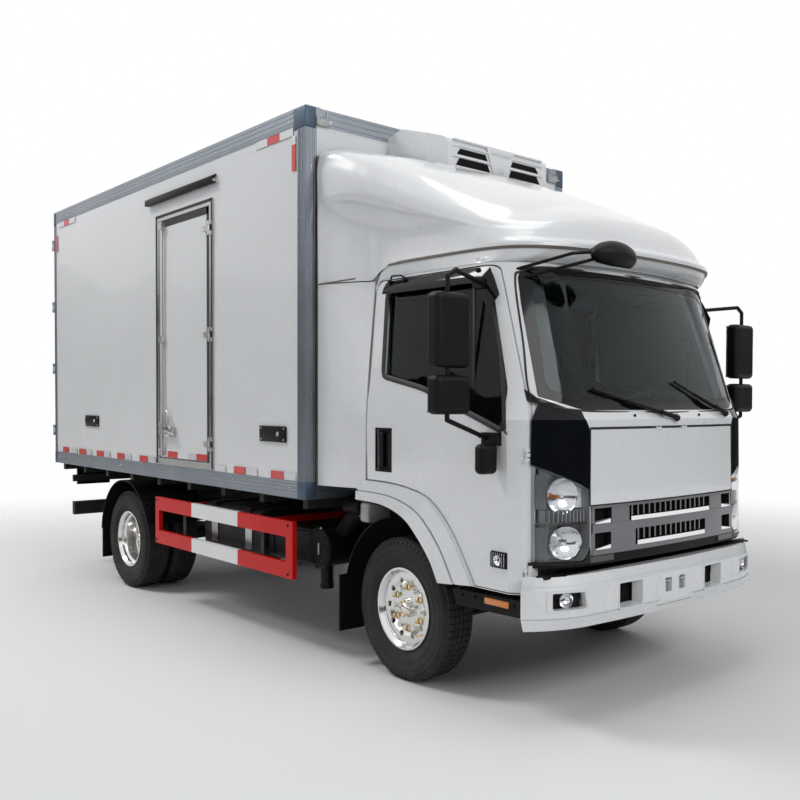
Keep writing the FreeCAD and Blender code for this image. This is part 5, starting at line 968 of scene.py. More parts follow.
def circle_point(p0, pm, p1, t, out=0.0):
    """A point on the circle through three flat points, moved out by a small distance."""
    (ax, ay), (bx, by), (cx, cy) = p0, pm, p1
    d = 2 * (ax * (by - cy) + bx * (cy - ay) + cx * (ay - by))
    ux = ((ax * ax + ay * ay) * (by - cy) + (bx * bx + by * by) * (cy - ay) + (cx * cx + cy * cy) * (ay - by)) / d
    uy = ((ax * ax + ay * ay) * (cx - bx) + (bx * bx + by * by) * (ax - cx) + (cx * cx + cy * cy) * (bx - ax)) / d
    radius = math.hypot(ax - ux, ay - uy)
    start, end = math.atan2(ay - uy, ax - ux), math.atan2(cy - uy, cx - ux)
    turn = start + (end - start) * t
    return ux + (radius + out) * math.cos(turn), uy + (radius + out) * math.sin(turn)


def bumper_point(s, z, out=0.0):
    """A point on the front of the bumper; s runs from the middle, 0, to the left end, 1."""
    shift = line_at(((0.445, -0.025), (0.505, 0.0), (0.630, 0.0), (0.690, -0.018)), z)
    nose, wide = 2.965 + shift, 0.942 + shift * 0.6
    knee = nose - 0.028
    if s <= 0.62:
        y = s
        x = nose - 0.028 * (y / 0.62) ** 2 + out
    else:
        x, y = circle_point((knee, 0.62), (nose - 0.070, wide - 0.140), (2.790, wide), (s - 0.62) / 0.38, out)
    return Vector((min(x, 2.9649), y, z))


def bumper_band(mesh, span, low, high, out=0.003, depth=0.005, columns=40):
    def place(u, v):
        return bumper_point(span[0] + (span[1] - span[0]) * u, low + (high - low) * v, out)
    return thicken(mesh, add_surface(mesh, columns, 3, place), depth)


def bumper_trim():
    mesh = bmesh.new()
    bumper_band(mesh, (0.0, 1.0), 0.4465, 0.497, 0.0035)
    bumper_band(mesh, (0.0, 1.0), 0.648, 0.6885, 0.0045)
    for low, high, near, far in ((0.4965, 0.5035, 0.262, 0.441), (0.6235, 0.6305, 0.262, 0.441),
                                 (0.5035, 0.6235, 0.262, 0.268), (0.5035, 0.6235, 0.435, 0.441)):
        bumper_band(mesh, (near, far), low, high, 0.003, 0.008, 8)
    both_sides(mesh)
    solid("bumper_edges", mesh, WHITE_PAINT, "root", "white_paint", 40)
    mesh = bmesh.new()
    bumper_band(mesh, (0.640, 0.876), 0.531, 0.5375, 0.004, 0.02, 12)
    bumper_band(mesh, (0.648, 0.876), 0.6165, 0.624, 0.004, 0.02, 12)
    bumper_band(mesh, (0.868, 0.876), 0.5375, 0.6165, 0.004, 0.02, 2)
    bumper_band(mesh, (0.560, 0.6435), 0.5335, 0.622, 0.0012, 0.004, 6)
    both_sides(mesh)
    solid("fog_bezels", mesh, WHITE_PAINT, "root", "white_paint", 40)
    # Painted shade: near-black boxes behind the bumper's square holes, fog lamp recesses, plate and top gap stand for
    # the shade in them
    mesh = bmesh.new()
    add_box(mesh, (2.880, 0.262, 0.498), (2.886, 0.442, 0.630), 0.001, 1)
    add_box(mesh, (2.800, 0.640, 0.520), (2.846, 0.850, 0.632), 0.002, 1)
    both_sides(mesh)
    add_box(mesh, (2.895, -0.120, 0.500), (2.901, 0.120, 0.628), 0.001, 1)
    add_box(mesh, (2.800, -0.860, 0.680), (2.868, 0.860, 0.6895), 0.003, 1)
    solid("bumper_dark_backs", mesh, BLACK_AND_SHADE, "root", "black_plastic", 40)
    mesh = bmesh.new()
    for y in (-0.125, 0.125):
        for z in (0.501, 0.611):
            add_hex(mesh, (2.9575, y, z), (1, 0, 0), 0.0058, 0.0068)
    add_box(mesh, (2.942, -0.150, 0.4735), (2.9645, 0.150, 0.4795), 0.001, 1)
    solid("plate_bolts", mesh, STEEL, "root", "steel_trim", 35)
    mesh = bmesh.new()
    for sign in (1, -1):
        centre = (2.868, sign * 0.742, 0.577)
        add_turned(mesh, [(0.006, 0), (0.018, 0.004), (0.030, 0.014), (0.036, 0.024)], centre, (1, sign * 0.3, 0), 24)
    solid("fog_reflectors", mesh, REFLECTOR, "root", "polished_rim", 30)


bumper_trim()

# Rails, castings, rivets, tapes and door gear of the box

RAIL_SPAN = (-2.860, 1.096)
WALL_FACE, HEAD_FACE = 1.0755, 1.2205
RIVET = [(0.0, 0.0028), (0.003, 0.0022), (0.0045, 0.0)]
LOCK_SCREW = [(0.0, 0.003), (0.003, 0.0026), (0.0048, 0.0)]


def box_rails():
    """Ribs along the rails and posts, as on drawn aluminium sections."""
    mesh = bmesh.new()
    for z in (3.054, 3.068, 3.096, 3.124):
        add_box(mesh, (RAIL_SPAN[0], WALL_FACE, z - 0.0035), (RAIL_SPAN[1], 1.0785, z + 0.0035), 0.001, 1)
    for z in (0.929, 0.944, 0.966, 0.990, 1.010):
        add_box(mesh, (-2.858, WALL_FACE, z - 0.004), (1.136, 1.0790, z + 0.004), 0.001, 1)
    for x in (1.2165, 1.2050, 1.1880, 1.1700, 1.1560, 1.1430):
        add_box(mesh, (x - 0.0032, WALL_FACE, 1.021), (x + 0.0032, 1.0795, 3.018), 0.0012, 1)
    for y in (1.0690, 1.0560, 1.0420, 1.0280, 1.0140):
        add_box(mesh, (HEAD_FACE, y - 0.003, 1.021), (1.2240, y + 0.003, 3.018), 0.0012, 1)
    for x in (-2.897, -2.880, -2.864):
        add_box(mesh, (x - 0.003, WALL_FACE, 1.021), (x + 0.003, 1.0790, 3.018), 0.001, 1)
    both_sides(mesh)
    for z in (0.934, 0.960, 0.986, 1.010):
        add_box(mesh, (HEAD_FACE, -1.000, z - 0.004), (1.2235, 1.000, z + 0.004), 0.001, 1)
    for z in (3.060, 3.092, 3.124):
        add_box(mesh, (HEAD_FACE, -0.920, z - 0.004), (1.2235, 0.920, z + 0.004), 0.001, 1)
    solid("rail_ribs", mesh, ALUMINIUM, "root", "aluminium_trim", 35)
    mesh = bmesh.new()
    add_box(mesh, (1.096, 1.004, 3.018), (1.2255, 1.0805, 3.1418), 0.010, 3)
    add_box(mesh, (1.1355, 1.004, 0.9205), (1.2255, 1.0805, 1.021), 0.006, 2)
    add_box(mesh, (-2.906, 1.000, 3.018), (-2.860, 1.0805, 3.1418), 0.008, 3)
    add_box(mesh, (-2.906, 1.000, 0.9205), (-2.858, 1.0805, 1.021), 0.006, 2)
    both_sides(mesh)
    solid("corner_castings", mesh, CAST_BLUE, "root", "aluminium_trim", 35)
    mesh = bmesh.new()
    for number in range(18):
        x = -2.78 + number * 0.225
        for z in (3.082, 0.978):
            add_turned(mesh, RIVET, (x, 1.0762, z), (0, 1, 0), 10)
    for number in range(14):
        z = 1.10 + number * 0.142
        add_turned(mesh, RIVET, (1.1795, 1.0762, z), (0, 1, 0), 10)
        add_turned(mesh, RIVET, (1.2212, 1.035, z), (1, 0, 0), 10)
    both_sides(mesh)
    solid("rail_rivets", mesh, STEEL, "root", "steel_trim", 35)


box_rails()

LOW_TAPE = ((-4.560, -4.420), (-4.360, -4.216), (-4.170, -4.015), (-3.990, -3.880), (-3.770, -3.624),
            (-3.610, -3.486), (-3.344, -3.206), (-3.190, -3.071), (-2.915, -2.771), (-2.761, -2.630),
            (-1.690, -1.570), (-1.462, -1.316), (-1.304, -1.169), (-1.008, -0.861), (-0.856, -0.730))
DOOR_TAPE = ((-2.413, -2.259, 0), (-2.098, -1.972, 1), (-1.969, -1.812, 0))


def tape_bit(mesh, x_range, z_range, y, material):
    """A strip of reflective tape with softened edges, on the right side of the box."""
    low, high = x_range[0] + FRONT_AXLE, x_range[1] + FRONT_AXLE
    return add_box(mesh, (low, y - 0.0012, z_range[0]), (high, y + 0.0006, z_range[1]), 0.0003, 1, material)


def tapes():
    mesh = bmesh.new()
    face = -1.0767
    for sign in (1, -1):
        made = []
        for number, span in enumerate(LOW_TAPE):
            red = number in (0, 2, 4, 6, 8, 11, 13)
            made += tape_bit(mesh, span, (1.0225, 1.0680), face, 0 if red else 1)
        if sign > 0:
            for low, high, kind in ((-2.413, -2.259, 0), (-2.100, -1.975, 1), (-1.969, -1.812, 0)):
                made += tape_bit(mesh, (low, high), (1.0225, 1.0680), face, kind)
        for low, high, kind in ((-1.183, -1.046, 1), (-1.046, -0.903, 0), (-0.903, -0.757, 1), (-4.638, -4.500, 1),
                                (-4.497, -4.373, 0), (-4.373, -4.229, 1)):
            made += tape_bit(mesh, (low, high), (2.9930, 3.0380), face, kind)
        made += tape_bit(mesh, (-0.772, -0.7315), (2.791, 2.941), face, 0)
        made += tape_bit(mesh, (-0.772, -0.7315), (2.941, 2.992), face, 1)
        made += tape_bit(mesh, (-4.700, -4.660), (2.789, 2.930), face, 0)
        if sign > 0:
            bmesh.ops.scale(mesh, vec=(1, -1, 1), verts=made)
    solid("reflective_tape", mesh, [RED_TAPE, SILVER_TAPE], "root", "red_guard", 30)
    mesh = bmesh.new()
    for low, high, kind in DOOR_TAPE:
        tape_bit(mesh, (low, high), (1.078, 1.1225), -1.0805, kind)
    solid("door_tape", mesh, [RED_TAPE, SILVER_TAPE], "side_leaf", "red_guard", 30)
    for sign, side in SIDES:
        mesh = bmesh.new()
        for low, high, kind in ((0.10, 0.25, 0), (0.26, 0.41, 1), (0.42, 0.57, 0), (0.60, 0.75, 1), (0.76, 0.91, 0)):
            for z in (1.045, 2.945):
                span = widths(sign, low, high)
                add_box(mesh, (-2.9124, span[0], z), (-2.9108, span[1], z + 0.045), 0.0003, 1, kind)
        solid("rear_tape_" + side, mesh, [RED_TAPE, SILVER_TAPE], "rear_leaf_" + side, "red_guard", 30)


tapes()


def box_fittings():
    """Gutter, blank lamp plates, door seals and the marker lamps' bases."""
    mesh = bmesh.new()
    rear, front = FRONT_AXLE - 2.732, FRONT_AXLE - 1.692
    gutter = [(rear, -WALL_FACE, 2.947), (rear, -1.108, 2.926), (rear, -1.108, 2.886), (rear, -1.102, 2.886),
              (rear, -1.102, 2.918), (rear, -WALL_FACE, 2.935)]
    add_plate(mesh, gutter, front - rear, 0.0015)
    add_box(mesh, (rear, -1.105, 2.888), (front, -WALL_FACE, 2.896), 0.001, 1)
    for low, high, foot, top in ((-4.011, -3.723, 1.262, 1.352), (-1.132, -0.834, 1.238, 1.332)):
        add_box(mesh, (FRONT_AXLE + low, -1.0835, foot), (FRONT_AXLE + high, -WALL_FACE, top), 0.002, 2)
        add_box(mesh, (FRONT_AXLE + low + 0.02, WALL_FACE, foot), (FRONT_AXLE + high + 0.02, 1.0835, top), 0.002, 2)
    solid("gutter_and_plates", mesh, BLACK_PLASTIC, "root", "black_plastic", 35)
    mesh = bmesh.new()
    for low, high, foot, top in ((-4.011, -3.723, 1.262, 1.352), (-1.132, -0.834, 1.238, 1.332)):
        for x in (low + 0.02, high - 0.02):
            for z in (foot + 0.015, top - 0.015):
                for y, out in ((-1.0835, -1), (1.0835, 1)):
                    shift = 0.02 if out > 0 else 0.0
                    add_turned(mesh, [(0.0, 0.0022), (0.004, 0.0018), (0.0055, 0.0)], (FRONT_AXLE + x + shift, y, z),
                               (0, out, 0), 12)
        add_turned(mesh, [(0.0, 0.004), (0.012, 0.0035), (0.014, 0.0)],
                   (FRONT_AXLE + (low + high) / 2 + 0.06, -1.0835, (foot + top) / 2), (0, -1, 0), 20)
    solid("plate_screws", mesh, STEEL, "root", "steel_trim", 35)
    mesh = bmesh.new()
    low_x, high_x, low_z, high_z = -0.698, 0.065, 1.0765, 2.7485
    face = (-1.0822, -1.0795)
    for box in (((low_x, face[0], low_z), (low_x + 0.026, face[1], high_z)),
                ((high_x - 0.030, face[0], low_z), (high_x, face[1], high_z)),
                ((low_x, face[0], high_z - 0.045), (high_x, face[1], high_z))):
        add_box(mesh, box[0], box[1], 0.0008, 1)
    solid("side_leaf_seal", mesh, SEAL, "side_leaf", "black_plastic", 35)
    mesh = bmesh.new()
    for x in (-0.7485, 0.0990):
        add_box(mesh, (x, -1.0850, 1.030), (x + 0.0165, -1.0815, 2.798), 0.001, 1)
    add_box(mesh, (-0.7485, -1.0850, 2.7785), (0.1155, -1.0815, 2.798), 0.001, 1)
    solid("door_frame_seal", mesh, SEAL, "root", "black_plastic", 35)
    for sign, side in SIDES:
        mesh = bmesh.new()
        for y in (0.010, 0.966):
            span = widths(sign, y, y + 0.018)
            add_box(mesh, (-2.9135, span[0], 1.030), (-2.9105, span[1], 3.032), 0.0008, 1)
        for z in (1.028, 3.020):
            span = widths(sign, 0.010, 0.984)
            add_box(mesh, (-2.9135, span[0], z), (-2.9105, span[1], z + 0.016), 0.0008, 1)
        solid("rear_leaf_seal_" + side, mesh, SEAL, "rear_leaf_" + side, "black_plastic", 35)
        mesh = bmesh.new()
        for y in (0.150, 0.620):
            for z in (1.086, 1.506, 2.331, 2.976):
                for step in (-0.016, 0.016):
                    add_turned(mesh, [(0.0, 0.004), (0.004, 0.0035), (0.006, 0.0)],
                               (-2.9495, sign * y + step, z), (-1, 0, 0), 12)
            add_tube(mesh, [(-2.953, sign * (y + 0.02), 1.363), (-2.957, sign * (y + 0.10), 1.363),
                            (-2.957, sign * (y + 0.175), 1.350)], 0.007, 12)
        solid("rear_lock_bolts_" + side, mesh, STEEL, "rear_leaf_" + side, "steel_trim", 35)
    mesh = bmesh.new()
    for z in (1.193, 1.9125, 2.605):
        for dz in (-0.011, 0.011):
            for x in (-0.005, 0.018, 0.040):
                add_turned(mesh, LOCK_SCREW, (x, -1.0962, z + dz), (0, -1, 0), 10)
    bar = -0.620
    for z in (1.116, 1.306, 1.9125, 2.709):
        for dz in (-0.013, 0.013):
            for dx in (-0.022, 0.022):
                add_turned(mesh, LOCK_SCREW, (bar + dx, -1.1123, z + dz), (0, -1, 0), 10)
    add_tube(mesh, [(bar + 0.02, -1.110, 1.262), (bar + 0.10, -1.118, 1.262), (bar + 0.19, -1.120, 1.250),
                    (bar + 0.23, -1.118, 1.240)], 0.008, 12)
    add_tube(mesh, [(bar + 0.055, -1.106, 1.290), (bar + 0.050, -1.106, 1.385), (bar + 0.085, -1.106, 1.410),
                    (bar + 0.115, -1.106, 1.380), (bar + 0.118, -1.106, 1.300)], 0.006, 12)
    add_box(mesh, (bar + 0.085, -1.116, 1.225), (bar + 0.150, -1.092, 1.300), 0.004, 2)
    solid("side_lock_parts", mesh, STEEL, "side_leaf", "steel_trim", 35)
    mesh = bmesh.new()
    add_box(mesh, (1.2212, 0.918, 3.038), (1.2290, 1.003, 3.094), 0.003, 2)
    add_tube(mesh, [(1.226, 0.940, 3.090), (1.230, 0.936, 3.112), (1.228, 0.934, 3.130)], 0.0022, 8)
    both_sides(mesh)
    solid("marker_bases", mesh, LAMP_GREY, "root", "black_plastic", 35)


box_fittings()

# Doors of the cab: window seals, visors, handles, side lamps, mirror glass and linings

WINDOW_PATH = ((-0.124, 1.616, 0.030), (0.217, 1.550, 0.060), (0.816, 1.344, 0.025), (0.812, 1.540, 0.200),
               (0.655, 2.070, 0.045), (-0.140, 2.085, 0.050))


def rounded(points, steps=6):
    """A closed flat path through corners given as (x, z, radius)."""
    path = []
    count = len(points)
    for number, (x, z, radius) in enumerate(points):
        here = Vector((x, 0, z))
        before = Vector((points[number - 1][0], 0, points[number - 1][1]))
        after = Vector((points[(number + 1) % count][0], 0, points[(number + 1) % count][1]))
        a = here + (before - here).normalized() * radius
        b = here + (after - here).normalized() * radius
        for step in range(steps + 1):
            t = step / steps
            path.append(a.lerp(here, t).lerp(here.lerp(b, t), t))
    return path


def path_at(path, u, offset=0.0):
    """A point along a closed path, moved out from it by an offset."""
    lengths = [(b - a).length for a, b in zip(path, path[1:] + path[:1])]
    place = (u % 1.0) * sum(lengths)
    for number, length in enumerate(lengths):
        if place <= length or number == len(lengths) - 1:
            break
        place -= length
    a, b = path[number], path[(number + 1) % len(path)]
    ahead = (b - a).normalized()
    return a.lerp(b, place / max(length, 1e-6)) + Vector((ahead.z, 0, -ahead.x)) * offset


def door_pieces(sign, side):
    def door_piece(name, mesh, material, slot, smooth):
        if sign < 0:
            bmesh.ops.scale(mesh, vec=(1, -1, 1), verts=mesh.verts)
        solid(name + "_" + side, mesh, material, "cab_door_" + side, slot, smooth)
    path = rounded(WINDOW_PATH)
    mesh = bmesh.new()

    def seal(u, v):
        offset = 0.014 - 0.026 * v
        flat = path_at(path, u, offset)
        y = cab_side(flat.z) + 0.0035 * math.sin(v * math.pi) - 0.004 * v
        return Vector((FRONT_AXLE + flat.x, y, flat.z))
    thicken(mesh, add_surface(mesh, 110, 4, seal), 0.003)
    add_box(mesh, (FRONT_AXLE + 0.5635, 0.886, 1.452), (FRONT_AXLE + 0.5785, 0.897, 2.075), 0.002, 1)
    door_piece("window_seal", mesh, SEAL, "black_plastic", 50)
    mesh = bmesh.new()
    top = from_axle(((-0.150, 2.118), (-0.060, 2.126), (0.300, 2.128), (0.620, 2.124), (0.676, 2.090),
                     (0.735, 1.985)))
    low = from_axle(((-0.148, 2.056), (-0.050, 2.054), (0.300, 2.052), (0.575, 2.048), (0.625, 2.010),
                     (0.690, 1.900)))

    def visor(u, v):
        point = along(top, u).lerp(along(low, u), v)
        point.y = cab_side(point.z) + 0.006 + 0.024 * math.sin(v * 1.5)
        return point
    thicken(mesh, add_surface(mesh, 50, 6, visor), 0.003)
    door_piece("window_visor", mesh, GLOSS_BLACK, "black_plastic", 50)
    mesh = bmesh.new()
    for x, z in ((-0.105, 2.112), (0.020, 2.114), (0.585, 2.108)):
        y = cab_side(z)
        add_box(mesh, (FRONT_AXLE + x - 0.012, y - 0.002, z - 0.004), (FRONT_AXLE + x + 0.012, y + 0.024, z + 0.014),
                0.003, 1)
    face = cab_side(2.13)
    add_tube(mesh, [(FRONT_AXLE + x, face + out, z) for x, out, z in (
        (-0.10, 0.015, 2.128), (-0.07, 0.032, 2.146), (0.01, 0.030, 2.142), (0.03, 0.012, 2.122))], 0.005, 10)
    x0 = FRONT_AXLE - 0.162
    add_box(mesh, (x0 + 0.002, 0.9088, 1.114), (x0 + 0.130, 0.9125, 1.333), 0.001, 1)
    add_box(mesh, (x0 + 0.030, 0.912, 1.128), (x0 + 0.062, 0.9345, 1.318), 0.010, 3)
    add_box(mesh, (x0 + 0.094, 0.912, 1.140), (x0 + 0.124, 0.9245, 1.305), 0.008, 3)
    for x_low, x_high, z_low, z_high in ((-0.004, 0.136, 1.330, 1.341), (-0.004, 0.136, 1.106, 1.117),
                                         (-0.006, 0.005, 1.106, 1.341), (0.127, 0.138, 1.106, 1.341)):
        add_box(mesh, (x0 + x_low, 0.922, z_low), (x0 + x_high, 0.9328, z_high), 0.003, 2)
    add_box(mesh, (FRONT_AXLE + 0.736, 0.9265, 0.712), (FRONT_AXLE + 0.842, 0.936, 0.790), 0.006, 2)
    door_piece("door_fittings", mesh, BLACK_PLASTIC, "black_plastic", 40)
    mesh = bmesh.new()
    add_box(mesh, (FRONT_AXLE + 0.741, 0.934, 0.717), (FRONT_AXLE + 0.837, 0.947, 0.785), 0.006, 3)
    door_piece("side_turn_lens", mesh, LENS, "lamp_lens", 40)
    mesh = bmesh.new()
    add_turned(mesh, [(0.004, 0.0), (0.014, 0.002), (0.024, 0.007)], (FRONT_AXLE + 0.789, 0.9355, 0.751), (0, 1, 0),
               20)
    for number in range(7):
        x = FRONT_AXLE + 0.748 + number * 0.0135
        add_box(mesh, (x - 0.001, 0.9355, 0.720), (x + 0.001, 0.9400, 0.782), 0.0, 1)
    add_turned(mesh, [(0.0, 0.004), (0.008, 0.0036), (0.011, 0.0)], (FRONT_AXLE - 0.095, 0.9300, 1.080), (0, 1, 0),
               24)
    door_piece("side_turn_reflector", mesh, REFLECTOR, "polished_rim", 30)
    mesh = bmesh.new()
    add_box(mesh, (FRONT_AXLE + 0.6965, 1.118, 1.652), (FRONT_AXLE + 0.6995, 1.287, 1.946), 0.001, 1)
    add_box(mesh, (FRONT_AXLE + 0.6965, 1.118, 1.445), (FRONT_AXLE + 0.6995, 1.287, 1.580), 0.001, 1)
    door_piece("mirror_glass", mesh, CHROME, "polished_rim", 40)
    mesh = bmesh.new()
    for low, high in ((1.640, 1.957), (1.433, 1.592)):
        add_box(mesh, (FRONT_AXLE + 0.7000, 1.112, low), (FRONT_AXLE + 0.7040, 1.293, low + 0.012), 0.001, 1)
        add_box(mesh, (FRONT_AXLE + 0.7000, 1.112, high - 0.012), (FRONT_AXLE + 0.7040, 1.293, high), 0.001, 1)
    for x in (0.680, 0.780):
        add_hex(mesh, (FRONT_AXLE + x, 0.955, 1.320), (0, 1, 0), 0.007, 0.008)
    add_box(mesh, (FRONT_AXLE - 0.20, 0.858, 1.00), (FRONT_AXLE + 0.66, 0.864, 1.52), 0.004, 2)
    add_box(mesh, (FRONT_AXLE + 0.10, 0.838, 1.30), (FRONT_AXLE + 0.50, 0.862, 1.36), 0.008, 2)
    door_piece("door_card", mesh, CABIN_PLASTIC, "cabin_plastic", 40)


for sign, side in SIDES:
    door_pieces(sign, side)

# Wheel arches, steps, and the fittings along the frame

FLARE_OUTER = ((-0.300, 1.052), (-0.040, 1.048), (0.130, 1.030), (0.291, 0.985), (0.400, 0.905), (0.500, 0.790),
               (0.622, 0.606))
FLARE_INNER = ((-0.300, 0.942), (-0.060, 0.930), (0.110, 0.880), (0.220, 0.798), (0.323, 0.690), (0.385, 0.588))


def arch_pieces():
    outer = from_axle(FLARE_OUTER)
    inner = from_axle(FLARE_INNER)
    mesh = bmesh.new()

    def lip(low, high, y_low, y_high):
        def place(u, v):
            flat = along(inner, u).lerp(along(outer, u), low + (high - low) * v)
            return Vector((flat.x, y_low + (y_high - y_low) * v, flat.z))
        return place
    thicken(mesh, add_surface(mesh, 60, 4, lip(0.03, 0.46, 0.958, 0.954)), 0.010)
    thicken(mesh, add_surface(mesh, 60, 4, lip(0.50, 0.97, 0.950, 0.946)), 0.006)
    both_sides(mesh)
    solid("arch_lips", mesh, WHITE_PAINT, "cab", "white_paint", 35)
    mesh = bmesh.new()
    thicken(mesh, add_surface(mesh, 50, 2, lambda u, v: along(inner, u) + Vector((0, 0.872 + 0.084 * v, -0.002))),
            0.006)
    both_sides(mesh)
    solid("arch_liner", mesh, BLACK_PLASTIC, "cab", "black_plastic", 40)
    mesh = bmesh.new()
    add_box(mesh, (FRONT_AXLE + 0.690, 0.924, 0.532), (FRONT_AXLE + 0.850, 0.930, 0.562), 0.002, 2)
    both_sides(mesh)
    solid("step_reflectors", mesh, AMBER, "root", "red_lens", 40)
    mesh = bmesh.new()
    for number in range(9):
        x = FRONT_AXLE + 0.50 + number * 0.044
        add_box(mesh, (x, 0.80, 0.573), (x + 0.012, 0.915, 0.581), 0.002, 1)
    for x in (0.53, 0.62, 0.88):
        add_hex(mesh, (FRONT_AXLE + x, 0.925, 0.548), (0, 1, 0), 0.007, 0.006)
    both_sides(mesh)
    solid("step_treads", mesh, BLACK_PLASTIC, "root", "black_plastic", 35)


arch_pieces()


def side_equipment():
    """Clamps, caps and straps on the air cleaner, reservoir, tank and battery box."""
    x, z = FRONT_AXLE - 0.740, 0.615
    mesh = bmesh.new()
    ring = [(0.1165, -0.882), (0.1220, -0.884), (0.1235, -0.900), (0.1220, -0.914), (0.1165, -0.916)]
    add_lathe(mesh, ring, (x, z), 56)
    for radius in (0.030, 0.055, 0.080):
        add_lathe(mesh, [(radius, -0.929), (radius + 0.004, -0.9335), (radius + 0.010, -0.9335),
                         (radius + 0.014, -0.929)],
                  (x, z), 48)
    for number in range(8):
        turn = number * math.pi / 4
        add_box(mesh, (x + 0.108 * math.cos(turn) - 0.006, -0.934, z + 0.108 * math.sin(turn) - 0.006),
                (x + 0.108 * math.cos(turn) + 0.006, -0.926, z + 0.108 * math.sin(turn) + 0.006), 0.002, 1)
    add_box(mesh, (x + 0.10, -0.83, z + 0.215), (x + 0.26, -0.68, z + 0.300), 0.025, 3)
    add_rod(mesh, (x + 0.02, -0.87, z - 0.235), (x + 0.02, -0.87, z - 0.205), 0.042, 24, 0.005)
    solid("air_cleaner_clamp", mesh, BLACK_PLASTIC, "root", "black_plastic", 35)
    mesh = bmesh.new()
    add_box(mesh, (x + 0.018, -0.9345, z - 0.030), (x + 0.032, -0.9325, z + 0.038), 0.0005, 1)
    add_lathe(mesh, [(0.0500, -0.760), (0.0530, -0.760), (0.0530, -0.772), (0.0500, -0.772)], (x + 0.03, z + 0.07),
              32)
    for sx in (FRONT_AXLE - 2.12, FRONT_AXLE - 1.645):
        add_box(mesh, (sx - 0.020, -0.8862, 0.50), (sx + 0.065, -0.8838, 0.71), 0.001, 1)
    add_hex(mesh, (x + 0.02, -0.912, z + 0.118), (0, 0, 1), 0.006, 0.01)
    solid("side_marks_and_clamps", mesh, STEEL, "root", "steel_trim", 35)
    mesh = bmesh.new()
    add_box(mesh, (x + 0.248, -0.803, 0.788), (x + 0.333, -0.637, 0.904), 0.018, 3)
    for dz in (0.82, 0.845, 0.87):
        add_box(mesh, (x + 0.246, -0.8045, dz), (x + 0.335, -0.80, dz + 0.004), 0.001, 1)
    solid("reservoir_skin", mesh, RESERVOIR, "root", "white_paint", 40)
    mesh = bmesh.new()
    add_rod(mesh, (x + 0.29, -0.76, 0.902), (x + 0.29, -0.76, 0.930), 0.022, 24, 0.003)
    add_rod(mesh, (FRONT_AXLE - 1.72, -0.70, 0.768), (FRONT_AXLE - 1.72, -0.70, 0.795), 0.045, 28, 0.004)
    add_box(mesh, (FRONT_AXLE - 1.425, -0.856, 0.690), (FRONT_AXLE - 0.875, -0.425, 0.708), 0.006, 2)
    for dx in (-1.38, -1.16, -0.94):
        add_box(mesh, (FRONT_AXLE + dx, -0.8555, 0.500), (FRONT_AXLE + dx + 0.03, -0.8495, 0.690), 0.002, 1)
    add_tube(mesh, [(FRONT_AXLE - 0.95, -0.60, 0.70), (FRONT_AXLE - 0.80, -0.52, 0.735),
                    (FRONT_AXLE - 0.60, -0.45, 0.72), (FRONT_AXLE - 0.35, -0.40, 0.70)], 0.012, 12)
    solid("caps_and_lids", mesh, BLACK_PLASTIC, "root", "black_plastic", 35)
    mesh = bmesh.new()
    for gx in (FRONT_AXLE - 2.725, FRONT_AXLE - 0.895):
        for gz in (0.455, 0.745):
            add_hex(mesh, (gx, 1.0298, gz), (0, 1, 0), 0.007, 0.006)
    for gx in (FRONT_AXLE - 1.243, FRONT_AXLE - 2.325):
        add_box(mesh, (gx - 0.020, 0.992, 0.440), (gx + 0.020, 1.0005, 0.760), 0.002, 1)
    both_sides(mesh)
    for number in range(14):
        bx = -2.75 + number * 0.30
        for y in (-0.376, 0.376):
            add_hex(mesh, (bx, y, 0.735), (0, math.copysign(1, y), 0), 0.010, 0.010)
            add_hex(mesh, (bx + 0.06, y, 0.665), (0, math.copysign(1, y), 0), 0.010, 0.010)
    solid("frame_bolts", mesh, CHASSIS, "root", "chassis_paint", 35)


side_equipment()


# Openings of the bumper, the strip under the lamps, wiper arms and the close-view mirror


def mouth_walls(mesh, near, far, low, high, depth, draw, out=0.002):
    """Walls of one opening in the bumper, drawn in towards its back."""
    corners = [(near, low), (far, low), (far, high), (near, high)]
    made = []
    for (s0, z0), (s1, z1) in zip(corners, corners[1:] + corners[:1]):
        middle_s, middle_z = (near + far) / 2, (low + high) / 2

        def place(u, v):
            s, z = s0 + (s1 - s0) * u, z0 + (z1 - z0) * u
            s += (middle_s - s) * draw * v
            z += (middle_z - z) * draw * v
            point = bumper_point(s, z, out)
            return point + Vector((-depth * v, -0.35 * depth * v if near > 0.6 else 0.0, 0))
        made += thicken(mesh, add_surface(mesh, 4, 3, place), 0.002)
    return made


def bumper_mouths():
    mesh = bmesh.new()
    mouth_walls(mesh, 0.268, 0.435, 0.505, 0.622, 0.055, 0.14)
    mouth_walls(mesh, 0.655, 0.872, 0.537, 0.617, 0.026, 0.10)
    both_sides(mesh)
    for near, far in ((0.042, 0.082), (-0.082, -0.042)):
        low, high = 0.528, 0.588
        mouth = [(near, low), (far, low), (far, high), (near, high)]
        for (y0, z0), (y1, z1) in zip(mouth, mouth[1:] + mouth[:1]):
            thicken(mesh, add_surface(mesh, 1, 2, lambda u, v: Vector((2.9635 - 0.030 * v, y0 + (y1 - y0) * u,
                                                                      z0 + (z1 - z0) * u))), 0.002)
    solid("bumper_mouths", mesh, WHITE_PAINT, "root", "white_paint", 35)
    # Painted shade: near-black backs close the two small holes so they read as shaded hollows
    mesh = bmesh.new()
    for near, far in ((0.044, 0.080), (-0.080, -0.044)):
        add_box(mesh, (2.936, near, 0.530), (2.938, far, 0.586), 0.0, 1)
    solid("plate_hole_backs", mesh, BLACK_AND_SHADE, "root", "black_plastic", 35)
    mesh = bmesh.new()
    both_sides(mesh, nose_band(mesh, (0.0, 0.879), lambda y: 0.7225, lambda y: 0.7485, -0.006, 0.02, 60))
    both_sides(mesh, nose_band(mesh, (0.0, 0.600), lambda y: 0.7485, lambda y: 0.768, -0.003, 0.02, 40))
    solid("lamp_skirt_strip", mesh, BLACK_PLASTIC, "cab", "black_plastic", 40)


bumper_mouths()


